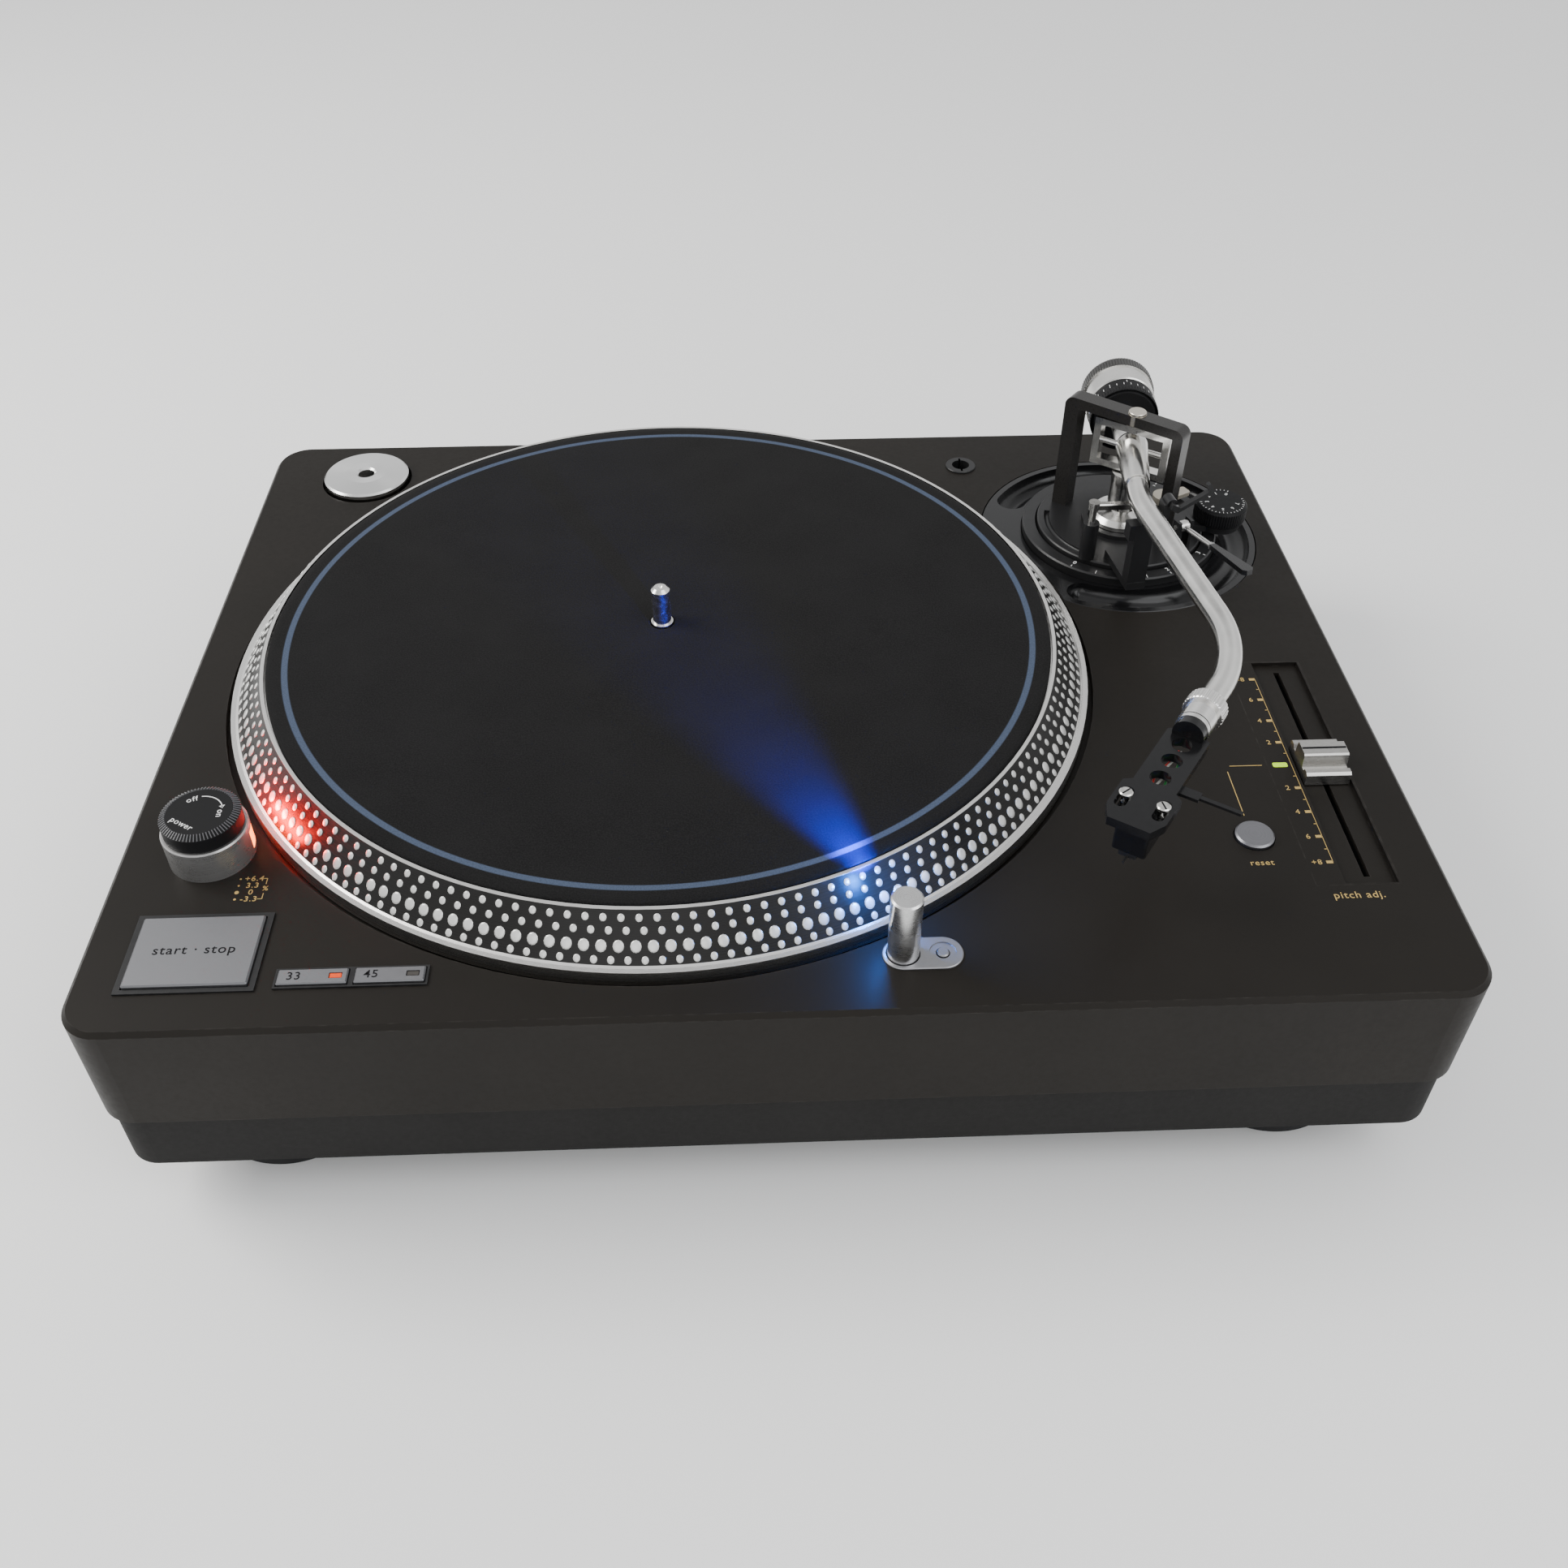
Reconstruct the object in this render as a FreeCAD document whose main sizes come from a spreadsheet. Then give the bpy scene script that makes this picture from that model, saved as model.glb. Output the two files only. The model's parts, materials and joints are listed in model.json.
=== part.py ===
"""Direct-drive record player: a heavy plinth, a quartz-locked platter and an S-shaped arm.

Millimetres, +Z up, +X to the player's right, +Y to the rear.
The origin is on the floor, under the middle of the plinth.
"""
import FreeCAD, Part
import Sketcher
import math
import os
import re

doc = FreeCAD.newDocument("RecordPlayer")

# ---------------------------------------------------------------- driving dimensions
SIZES = {
    # plinth: a rubber tray on four feet, with a cast cabinet on top
    "deck_length": 453, "deck_depth": 353, "deck_corner": 14, "deck_edge": 1.6,
    "base_low": 24, "deck_low": 50, "deck_top": 95, "top_plate": 12, "wall": 4,
    "base_inset": 2, "base_wall": 8, "post_radius": 7,
    "post_x": 208, "post_y": 160, "post_mid_x": 75, "screw_radius": 1.9, "screw_bore": 2.1,
    "screw_head": 4.2, "screw_head_height": 2.4, "screw_reach": 12, "screw_length": 37,
    # feet, which screw up and down to level the deck
    "foot_x": 178, "foot_y": 132, "foot_radius": 31, "foot_sole": 27, "foot_height": 23.6,
    "foot_neck": 12, "stud_radius": 3.95, "stud_bore": 4.1, "stud_top": 42, "boss_radius": 12,
    # platter and motor, all on the spindle's axis
    "spindle_x": -41.5, "spindle_y": 5.5, "recess_radius": 168.5, "recess_depth": 4,
    "platter_radius": 166, "platter_low": 92.3, "lip_top": 98.2, "lip_width": 1.8,
    "slope_outer": 163.2, "slope_inner": 152.2, "rim_top": 113, "mat_seat": 110.5, "rim_inner": 150.9,
    "disc_under": 105, "cavity_radius": 158, "mat_radius": 150.4, "mat_thick": 3, "mat_hole": 4.6,
    "spindle_radius": 3.6, "spindle_root": 4.3, "root_top": 113.8, "spindle_top": 129.5, "hub_radius": 8,
    "shaft_radius": 4, "shaft_bore": 4.06, "shaft_low": 52, "magnet_inner": 20, "magnet_outer": 48,
    "magnet_low": 97.5,
    "coil_circle": 33, "coil_radius": 9, "coil_hole": 3.5, "coil_low": 84, "coil_top": 95,
    "motor_hole": 50, "flange_radius": 60, "flange_thick": 4, "housing_radius": 11, "housing_low": 46,
    # single-hole adapter, parked in its own recess
    "adapter_x": -181.9, "adapter_y": 146.6, "adapter_radius": 19.1, "adapter_recess": 20.3,
    "adapter_height": 7.6, "adapter_cone": 9,
    # socket for a spare headshell
    "spare_x": 94.25, "spare_y": 147.6, "spare_bore": 4, "spare_tube": 6.3, "spare_flange": 6.9,
    "spare_depth": 25, "spare_rise": 0.8, "keyway_width": 1, "keyway_reach": 5.6,
    # start and stop button
    "start_x": -189.5, "start_y": -143.9, "start_length": 39.6, "start_depth": 29.4,
    "start_frame": 2.3, "start_rise": 1.9, "bezel_rise": 0.7, "bezel_height": 9,
    "press_gap": 0.3, "stem_side": 8, "stem_low": 72,
    # two speed buttons with a small lamp window each
    "speed_x": -137.5, "speed_y": -156, "speed_pitch": 24.4, "speed_length": 22.2, "speed_depth": 6.1,
    "speed_frame": 1.0, "speed_rise": 1.6, "lamp_dx": 7.3, "lamp_length": 3.6, "lamp_depth": 1.6,
    "lamp_gap": 0.3, "lamp_low": 80,
    # strobe pod with the power switch on top
    "pod_x": -194.9, "pod_y": -97.4, "pod_radius": 14.6, "pod_height": 12.5, "pod_spigot": 9,
    "window_heading": 33.9, "window_sweep": 72, "window_thick": 1.4, "window_low": 97, "window_high": 104.5,
    "power_radius": 13.5, "power_height": 6.4, "power_cap": 11, "power_stem": 4,
    # target light: a lamp that rises out of a small plate, and its button
    "light_x": 38.2, "light_y": -153, "light_span": 12.9, "light_radius": 6.7, "light_rise": 0.8,
    "tube_radius": 5.25, "tube_well": 5.6, "tube_low": 80, "tube_top": 122, "lens_radius": 2.7,
    "lens_z": 116.5, "lens_heading": 116.7, "dish_radius": 4.4, "pip_radius": 2, "pip_well": 2.3,
    # pitch fader
    "panel_x": 195, "panel_y": -66.75, "panel_length": 122, "panel_width": 29, "panel_thick": 3,
    "fader_x": 199.7, "fader_width": 18.2, "fader_length": 120.8, "fader_depth": 1.6,
    "slot_width": 2.2, "slot_length": 112, "knob_length": 20, "knob_width": 16.4, "knob_low": 93.8,
    "knob_base": 3.8, "knob_ridge": 5.2, "knob_top": 9.2, "knob_block": 3.8, "fader_stem": 1.5,
    "pot_width": 13, "pot_height": 10, "led_x": 185.2, "led_y": -66.75, "led_length": 5.4, "led_width": 2.4,
    "reset_x": 165.8, "reset_y": -103.5, "reset_radius": 6.8, "reset_rise": 1.6,
    # arm dish and height adjustment, all on the arm's vertical axis
    "arm_x": 156.5, "arm_y": 89.3, "arm_z": 137, "dish_outer": 60, "dish_low": 85, "dish_floor": 91,
    "dish_bore": 24.4, "well_radius": 42.4, "moat_radius": 50.6, "moat_width": 6.4, "moat_start": -118,
    "moat_sweep": 266, "ring_inner": 36.1, "ring_outer": 42, "ring_top": 99, "plate_radius": 35.7,
    "plate_low": 91.4, "plate_top": 101, "guide_radius": 24, "guide_bore": 21, "guide_low": 70,
    "collar_outer": 16.5, "collar_inner": 13.8, "collar_top": 103, "groove_radius": 31.6,
    "groove_start": 163, "groove_sweep": 71, "groove_width": 1.2,
    # pillar, bridge and gimbal
    "pillar_radius": 13.4, "pillar_step": 107, "pillar_neck": 6.5, "pillar_top": 125.6,
    "pivot_radius": 1.5, "pivot_bore": 1.56, "bridge_heading": 141, "bridge_width": 7.5,
    "bridge_low": 148.6, "bridge_top": 153, "bridge_long": 31.5, "bridge_short": 23,
    "post_thick": 4.6, "long_post": 6.6, "bridge_corner": 4, "bridge_screw": 3.7, "screw_rise": 1.1,
    "gimbal_half": 16.8, "gimbal_wall": 3, "gimbal_thick": 5, "gimbal_height": 21.4,
    "tilt_pin": 1.2, "tilt_bore": 1.26, "pin_reach": 15.4,
    # arm: headings are counted from +X, anticlockwise seen from above
    "tube_heading": 262.4, "shell_heading": 235.3, "rear_heading": 86,
    "hub_ball": 6.75, "cone_end": 5.25, "cone_length": 30.4, "cone_bore": 4.6,
    "arm_radius": 4.5, "arm_bore": 3.9, "tube_start": 8, "bend_one_dx": -5.6, "bend_one_dy": -42,
    "bend_one": 60, "bend_two_dx": 9.89, "bend_two_dy": -143, "bend_two": 62,
    "shell_dx": -22.58, "shell_dy": -189.93, "socket_face": 9.5,
    "rear_start": 8, "rear_radius": 6.2, "rear_neck": 5.5, "rear_groove": 18, "rear_step": 24.5,
    "rear_rod": 4, "rear_end": 49.5,
    "core_inner": 4.1, "core_outer": 6.3, "core_start": 27.6, "core_end": 52.6,
    "dial_radius": 14.5, "dial_start": 23.3, "dial_end": 32.9, "dial_bore": 6.7, "dial_seat": 9.3,
    "weight_radius": 15, "weight_band": 15.5, "weight_start": 33.2, "band_start": 43.7,
    "band_end": 50.5, "weight_end": 51.2, "stub_radius": 7, "stub_end": 56.3,
    # headshell, measured along its own axis from its first round hole
    "nut_start": -23, "nut_radius": 6, "nut_flange": 6.9, "nut_bore": 4.7, "flange_end": -16.8,
    "ring_radius": 5.9, "ring_start": -9.2, "ring_end": -7.4, "plug_radius": 3.6, "plug_start": -20,
    "shell_low": 132.3, "shell_thick": 3.4, "shell_back": -6.6, "shell_narrow": 7.4, "shell_step": 24.9,
    "shell_wide": 10.1, "shell_shoulder": 39, "shell_front": 45, "shell_nose": 7.2,
    "shell_hole": 3.5, "hole_two": 9.2, "hole_three": 19, "slot_start": 28.4, "slot_end": 38.7,
    "slot_side": 6.4, "slot_radius": 2, "bolt_at": 32.2, "bolt_head": 2.3, "bolt_shank": 1.2,
    "lift_at": 18.7, "lift_length": 20.7, "cart_back": 25, "cart_front": 39.4, "cart_width": 15.6,
    "cart_low": 118.4, "stylus_at": 41.7, "stylus_tip": 115.3,
    # arm furniture on the base plate, measured from the arm's vertical axis
    "skate_dx": 42.5, "skate_dy": -3.8, "skate_radius": 10.8, "skate_low": 104.3, "skate_top": 112,
    "skate_pin": 2, "bracket_length": 22, "bracket_width": 13,
    "lock_dx": 22, "lock_dy": 12.8, "lock_radius": 4.8, "lock_reach": 13.6, "lock_width": 5.2,
    "lock_heading": 28, "lock_low": 102.4, "lock_top": 105.6, "lock_pin": 1.8,
    "cue_dx": 22.2, "cue_dy": -19.3, "cue_z": 110, "cue_heading": 291, "cue_rise": 6,
    "cue_rod": 1.1, "blade_start": 20, "blade_end": 46, "blade_root": 2.4,
    "blade_tip": 5.2, "blade_thick": 2.2, "cue_hub": 2.4, "cue_hub_width": 4, "ear_thick": 1.4,
    "ear_length": 4.4,
    "lift_dx": -19.6, "lift_dy": -27.3, "lift_radius": 3.4, "lift_low": 101, "lift_high": 118,
    "pin_radius": 1.6, "bar_low": 124.6, "bar_high": 127.2, "bar_reach": 24, "bar_width": 3,
    "bar_head": 2.4,
    "rest_dx": -4.48, "rest_dy": -49.3, "rest_heading": 278.7, "rest_width": 8, "rest_thick": 5.4,
    "saddle_top": 132.1, "rest_foot": 26, "saddle_radius": 5.4, "rest_side": 6.6, "rest_wall": 2.6,
    "rest_high": 140.4,
    "clip_z": 140.4, "clip_side": 9.5, "clip_reach": 15.2, "clip_thick": 1.6, "clip_width": 2.2,
    "clip_open": 150, "clip_pin": 1, "clip_lug": 2.2,
    # electrics inside, and the sockets at the back
    "board_length": 150, "board_width": 88, "board_thick": 1.6, "board_x": -75, "board_y": -98,
    "board_z": 42,
    "core_length": 66, "core_width": 54, "core_height": 44, "transformer_x": -110, "transformer_y": 118,
    "winding_width": 30, "winding_length": 76, "winding_height": 32, "floor_z": 30,
    "inlet_x": -180, "inlet_z": 68, "inlet_length": 28, "inlet_height": 20, "inlet_depth": 22,
    "socket_length": 19, "socket_height": 11, "socket_depth": 14, "prong_radius": 1.3, "prong_gap": 4.3,
    "prong_length": 8.5, "tray_x": 126, "tray_z": 68, "tray_length": 76, "tray_height": 26,
    "tray_depth": 16,
    "tray_wall": 1.6, "jack_x": 130, "jack_gap": 20, "jack_radius": 4.15, "jack_length": 9.5,
    "jack_flange": 6.5,
    "flange_rise": 1.6, "ground_x": 103, "ground_radius": 4.5, "ground_length": 8,
}

sheet = doc.addObject("Spreadsheet::Sheet", "Sizes")
for row, (alias, value) in enumerate(SIZES.items(), start=1):
    sheet.set(f"A{row}", alias)
    sheet.set(f"B{row}", str(value))
    sheet.setAlias(f"B{row}", alias)
doc.recompute()


# ---------------------------------------------------------------- how pieces are made
def formula(text):
    """A size expression with each alias spelled out as a cell of the sheet."""
    return re.sub(r"[a-z][a-z_]*", lambda m: f"Sizes.{m[0]}" if m[0] in SIZES else m[0], str(text))


def bind(thing, prop, text):
    thing.setExpression(prop, formula(text))


def pointing(along):
    """The rotation that turns +Z to face along the given direction."""
    return FreeCAD.Rotation(FreeCAD.Vector(0, 0, 1), FreeCAD.Vector(*along))


def spun(degrees):
    """A rotation about +Z."""
    return FreeCAD.Rotation(FreeCAD.Vector(0, 0, 1), degrees)


def heading(name, climb=0):
    """Unit vector of a heading in the sheet, in degrees, with an optional climb above level."""
    angle = math.radians(SIZES[name])
    rise = math.radians(climb)
    return (math.cos(angle) * math.cos(rise), math.sin(angle) * math.cos(rise), math.sin(rise))


def place(thing, at, rotation=None):
    thing.Placement = FreeCAD.Placement(FreeCAD.Vector(0, 0, 0), rotation or FreeCAD.Rotation())
    for axis, text in zip("xyz", at):
        bind(thing, f"Placement.Base.{axis}", text)
    return thing


def from_arm(name, along, side=0):
    """The point that lies along a heading from the arm's vertical axis, and to the left of it."""
    return (
        f"arm_x + ({along}) * cos({name}) - ({side}) * sin({name})",
        f"arm_y + ({along}) * sin({name}) + ({side}) * cos({name})",
    )


def on_shell(along, side=0):
    """The same, measured from the headshell's first hole."""
    x, y = from_arm("shell_heading", along, side)
    return (f"{x} + shell_dx", f"{y} + shell_dy")


def rod(name, radius, length, at, rotation=None, sweep=None):
    cylinder = doc.addObject("Part::Cylinder", name)
    bind(cylinder, "Radius", radius)
    bind(cylinder, "Height", length)
    if sweep:
        bind(cylinder, "Angle", sweep)
    return place(cylinder, at, rotation)


def fuse(name, *shapes):
    result = doc.addObject("Part::MultiFuse", name)
    result.Shapes = list(shapes)
    return result


def group(name, *shapes):
    """Separate solids that share one node."""
    result = doc.addObject("Part::Compound", name)
    result.Links = list(shapes)
    return result


def cut(name, base, *tools):
    result = doc.addObject("Part::Cut", name)
    result.Base = base
    result.Tool = tools[0] if len(tools) == 1 else fuse(f"{name}_tools", *tools)
    return result


def new_sketch(body, name, plane):
    sketch = body.newObject("Sketcher::SketchObject", name)
    origin_plane = next(p for p in body.Origin.OriginFeatures if p.Role == plane)
    sketch.AttachmentSupport = [(origin_plane, "")]
    sketch.MapMode = "FlatFace"
    return sketch


def pin_point(sketch, geometry, end, point):
    """Tie one end of a line to a point given by two size expressions; the text 0 means on the axis."""
    for text, kind, axis in ((point[0], "DistanceX", -2), (point[1], "DistanceY", -1)):
        if text == "0":
            sketch.addConstraint(Sketcher.Constraint("PointOnObject", geometry, end, axis))
            continue
        index = sketch.addConstraint(Sketcher.Constraint(kind, -1, 1, geometry, end, 1.0 + geometry))
        bind(sketch, f"Constraints[{index}]", text)


def draw_outline(sketch, points):
    """A closed polygon whose every corner is driven by the sheet."""
    count = len(points)
    turn = 2 * math.pi / count
    spots = [FreeCAD.Vector(50 + 20 * math.cos(k * turn), 50 + 20 * math.sin(k * turn),
                            0) for k in range(count)]
    for k in range(count):
        sketch.addGeometry(Part.LineSegment(spots[k], spots[(k + 1) % count]))
    for k in range(count):
        sketch.addConstraint(Sketcher.Constraint("Coincident", k, 2, (k + 1) % count, 1))
    for k, point in enumerate(points):
        pin_point(sketch, k, 1, point)


def draw_hole(sketch, centre, radius):
    index = sketch.addGeometry(Part.Circle(FreeCAD.Vector(1, 1, 0), FreeCAD.Vector(0, 0, 1), 1))
    pin_point(sketch, index, 3, centre)
    sized = sketch.addConstraint(Sketcher.Constraint("Radius", index, 1.0))
    bind(sketch, f"Constraints[{sized}]", radius)


def chosen_edges(feature, test):
    return [f"Edge{k}" for k, edge in enumerate(feature.Shape.Edges, start=1) if test(edge)]


def is_upright(edge):
    a, b = edge.Vertexes[0].Point, edge.Vertexes[-1].Point
    return abs(a.x - b.x) < 1e-6 and abs(a.y - b.y) < 1e-6 and abs(a.z - b.z) > 1e-6


def dress(body, kind, edges, amount):
    """A PartDesign fillet or chamfer on some edges of the body's last feature."""
    base = body.Tip
    feature = body.newObject(f"PartDesign::{kind}", f"{body.Name}_{kind.lower()}")
    feature.Base = (base, edges)
    bind(feature, "Radius" if kind == "Fillet" else "Size", amount)
    doc.recompute()


def prism(name, points, height, at, rotation=None, corner=None, edge=None, holes=(), plane="XY_Plane"):
    """A body padded from an outline, with optional rounded corners, chamfered top edge and round holes."""
    body = doc.addObject("PartDesign::Body", name)
    sketch = new_sketch(body, f"{name}_outline", plane)
    draw_outline(sketch, points)
    for centre, radius in holes:
        draw_hole(sketch, centre, radius)
    pad = body.newObject("PartDesign::Pad", f"{name}_pad")
    pad.Profile = sketch
    bind(pad, "Length", height)
    doc.recompute()
    if corner:
        dress(body, "Fillet", chosen_edges(pad, is_upright), corner)
    if edge:
        top = body.Tip.Shape.BoundBox.ZMax
        dress(body, "Chamfer", chosen_edges(body.Tip, lambda e: e.BoundBox.ZMin > top - 1e-6), edge)
    return place(body, at, rotation)


def slab(name, size, at, rotation=None, corner=None, edge=None):
    """A rectangular plate, centred on its placement in plan and standing on it in height."""
    length, width, height = size
    x, y = f"({length}) / 2", f"({width}) / 2"
    outline = [(f"-{x}", f"-{y}"), (x, f"-{y}"), (x, y), (f"-{x}", y)]
    return prism(name, outline, height, at, rotation, corner, edge)


def turned(name, profile, at, rotation=None):
    """A body turned about its own Z axis; the profile is a closed list of radius and height."""
    body = doc.addObject("PartDesign::Body", name)
    sketch = new_sketch(body, f"{name}_profile", "XZ_Plane")
    draw_outline(sketch, profile)
    spin = body.newObject("PartDesign::Revolution", f"{name}_turn")
    spin.Profile = sketch
    spin.ReferenceAxis = (sketch, ["V_Axis"])
    spin.Angle = 360
    return place(body, at, rotation)


REARWARD = pointing((0, 1, 0))
SPINDLE = ("spindle_x", "spindle_y")
ARM = ("arm_x", "arm_y")
TOP = "deck_top"
PLATE_LOW = "deck_top - top_plate"
CORNERS = [(sx, sy) for sx in (-1, 1) for sy in (-1, 1)]
SCREW_SPOTS = [(f"{sx} * {x}", f"{sy} * post_y") for sx, sy in CORNERS for x in ("post_x", "post_mid_x")]
pieces = {}


# ---------------------------------------------------------------- plinth
def build_cabinet():
    """Cast cabinet: a shell with a thick top plate, screw posts, and an opening for each fitting."""
    shell = slab(
        "cabinet_shell", ("deck_length", "deck_depth", "deck_top - deck_low"), ("0", "0", "deck_low"),
        corner="deck_corner", edge="deck_edge",
    )
    inside = ("deck_length - 2 * wall", "deck_depth - 2 * wall", "deck_top - deck_low - top_plate")
    hollow = slab("cabinet_hollow", inside, ("0", "0", "deck_low"), corner="deck_corner - wall")
    posts = [
        rod(f"cabinet_post_{k}", "post_radius", "deck_top - deck_low - top_plate + 1", (x, y, "deck_low"))
        for k, (x, y) in enumerate(SCREW_SPOTS)
    ]
    bores = [
        rod(f"cabinet_bore_{k}", "screw_bore", "screw_reach + 2", (x, y, "deck_low - 1"))
        for k, (x, y) in enumerate(SCREW_SPOTS)
    ]
    body = fuse("cabinet_body", cut("cabinet_casting", shell, hollow), *posts)
    platter_well = rod("platter_well", "recess_radius", "recess_depth + 1",
                       (*SPINDLE, "deck_top - recess_depth"))
    motor_hole = rod("motor_hole", "motor_hole", "top_plate + 2", (*SPINDLE, f"{PLATE_LOW} - 1"))
    arm_pocket = cut(
        "arm_pocket",
        rod("arm_pocket_disc", "dish_outer + 0.1", "deck_top - dish_low + 1", (*ARM, "dish_low")),
        rod("arm_pocket_limit", "recess_radius + 0.5", "deck_top", (*SPINDLE, "0")),
    )
    arm_hole = rod("arm_hole", "dish_bore + 2", "top_plate + 2", (*ARM, f"{PLATE_LOW} - 1"))
    adapter_well = rod(
        "adapter_well", "adapter_recess", "recess_depth + 1",
        ("adapter_x", "adapter_y", "deck_top - recess_depth")
    )
    through = "top_plate + 2"
    below = f"{PLATE_LOW} - 1"
    openings = [
        rod("spare_hole", "spare_tube + 0.05", through, ("spare_x", "spare_y", below)),
        slab("start_hole", ("start_length + 2 * start_frame", "start_depth + 2 * start_frame - 0.6",
                            through),
             ("start_x", "start_y", below)),
        slab("speed_hole", ("speed_pitch + speed_length + 2 * speed_frame", "speed_depth + 2 * speed_frame",
                            through),
             ("speed_x", "speed_y", below)),
        rod("pod_hole", "pod_spigot + 0.05", through, ("pod_x", "pod_y", below)),
        slab("light_hole", ("light_span + 2 * light_radius", "2 * light_radius", through),
             ("light_x + light_span / 2", "light_y", below), corner="light_radius - 0.01"),
        slab("panel_hole", ("panel_width", "panel_length", through), ("panel_x", "panel_y", below)),
        rod("reset_hole", "reset_radius + 0.4", through, ("reset_x", "reset_y", below)),
        slab("inlet_hole", ("inlet_length", "wall + 2", "inlet_height"),
             ("inlet_x", "deck_depth / 2 - wall / 2", "inlet_z - inlet_height / 2")),
        slab("tray_hole", ("tray_length", "wall + 2", "tray_height"),
             ("tray_x", "deck_depth / 2 - wall / 2", "tray_z - tray_height / 2")),
    ]
    pieces["top_cabinet"] = cut(
        "top_cabinet", body, platter_well, motor_hole, arm_pocket, arm_hole, adapter_well, *bores, *openings
    )


def build_base():
    """Rubber tray with a boss over each foot's stud and a post under each cabinet screw."""
    outer = slab(
        "base_outer", ("deck_length - 2 * base_inset", "deck_depth - 2 * base_inset",
                       "deck_low - base_low"),
        ("0", "0", "base_low"), corner="deck_corner - base_inset",
    )
    inset = "2 * (base_inset + base_wall)"
    inner = slab(
        "base_inner", (f"deck_length - {inset}", f"deck_depth - {inset}", "deck_low"),
        ("0", "0", "floor_z"),
        corner="deck_corner - base_wall",
    )
    solids, bores = [cut("base_tray", outer, inner)], []
    for k, (sx, sy) in enumerate(CORNERS):
        spot = (f"{sx} * foot_x", f"{sy} * foot_y")
        solids.append(rod(f"base_boss_{k}", "boss_radius", "deck_low - base_low - 2", (*spot, "base_low")))
        bores.append(rod(f"base_boss_bore_{k}", "stud_bore", "stud_top - base_low + 1.5",
                         (*spot, "base_low - 1")))
    for k, (x, y) in enumerate(SCREW_SPOTS):
        solids.append(rod(f"base_post_{k}", "post_radius", "deck_low - base_low", (x, y, "base_low")))
        bores.append(rod(f"base_post_bore_{k}", "screw_bore", "deck_low", (x, y, "base_low - 1")))
        bores.append(rod(f"base_sink_{k}", "screw_head + 0.4", "screw_head_height + 1.4",
                         (x, y, "base_low - 1")))
    pieces["rubber_base"] = cut("rubber_base", fuse("base_body", *solids), *bores)
    screws = [
        turned(
            f"base_screw_{k}",
            [("0", "0"), ("screw_head", "0"), ("screw_head", "screw_head_height"),
             ("screw_radius", "screw_head_height"), ("screw_radius", "screw_length"),
             ("0", "screw_length")],
            (x, y, "base_low + 0.4"),
        )
        for k, (x, y) in enumerate(SCREW_SPOTS)
    ]
    pieces["base_screws"] = group("base_screws", *screws)


def build_feet():
    """Four levelling feet: a rubber-soled drum on a screwed stud."""
    profile = [
        ("0", "0"), ("foot_sole", "0"), ("foot_radius", "foot_radius - foot_sole"),
        ("foot_radius", "foot_height - 7"),
        ("foot_sole", "foot_height - 2.6"), ("foot_neck", "foot_height - 2.6"),
        ("foot_neck", "foot_height"),
        ("stud_radius", "foot_height"), ("stud_radius", "stud_top"), ("0", "stud_top"),
    ]
    names = {(-1, -1): "front_left", (1, -1): "front_right", (-1, 1): "rear_left", (1, 1): "rear_right"}
    for (sx, sy), name in names.items():
        pieces[f"foot_{name}"] = turned(f"foot_{name}", profile, (f"{sx} * foot_x", f"{sy} * foot_y", "0"))


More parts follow.
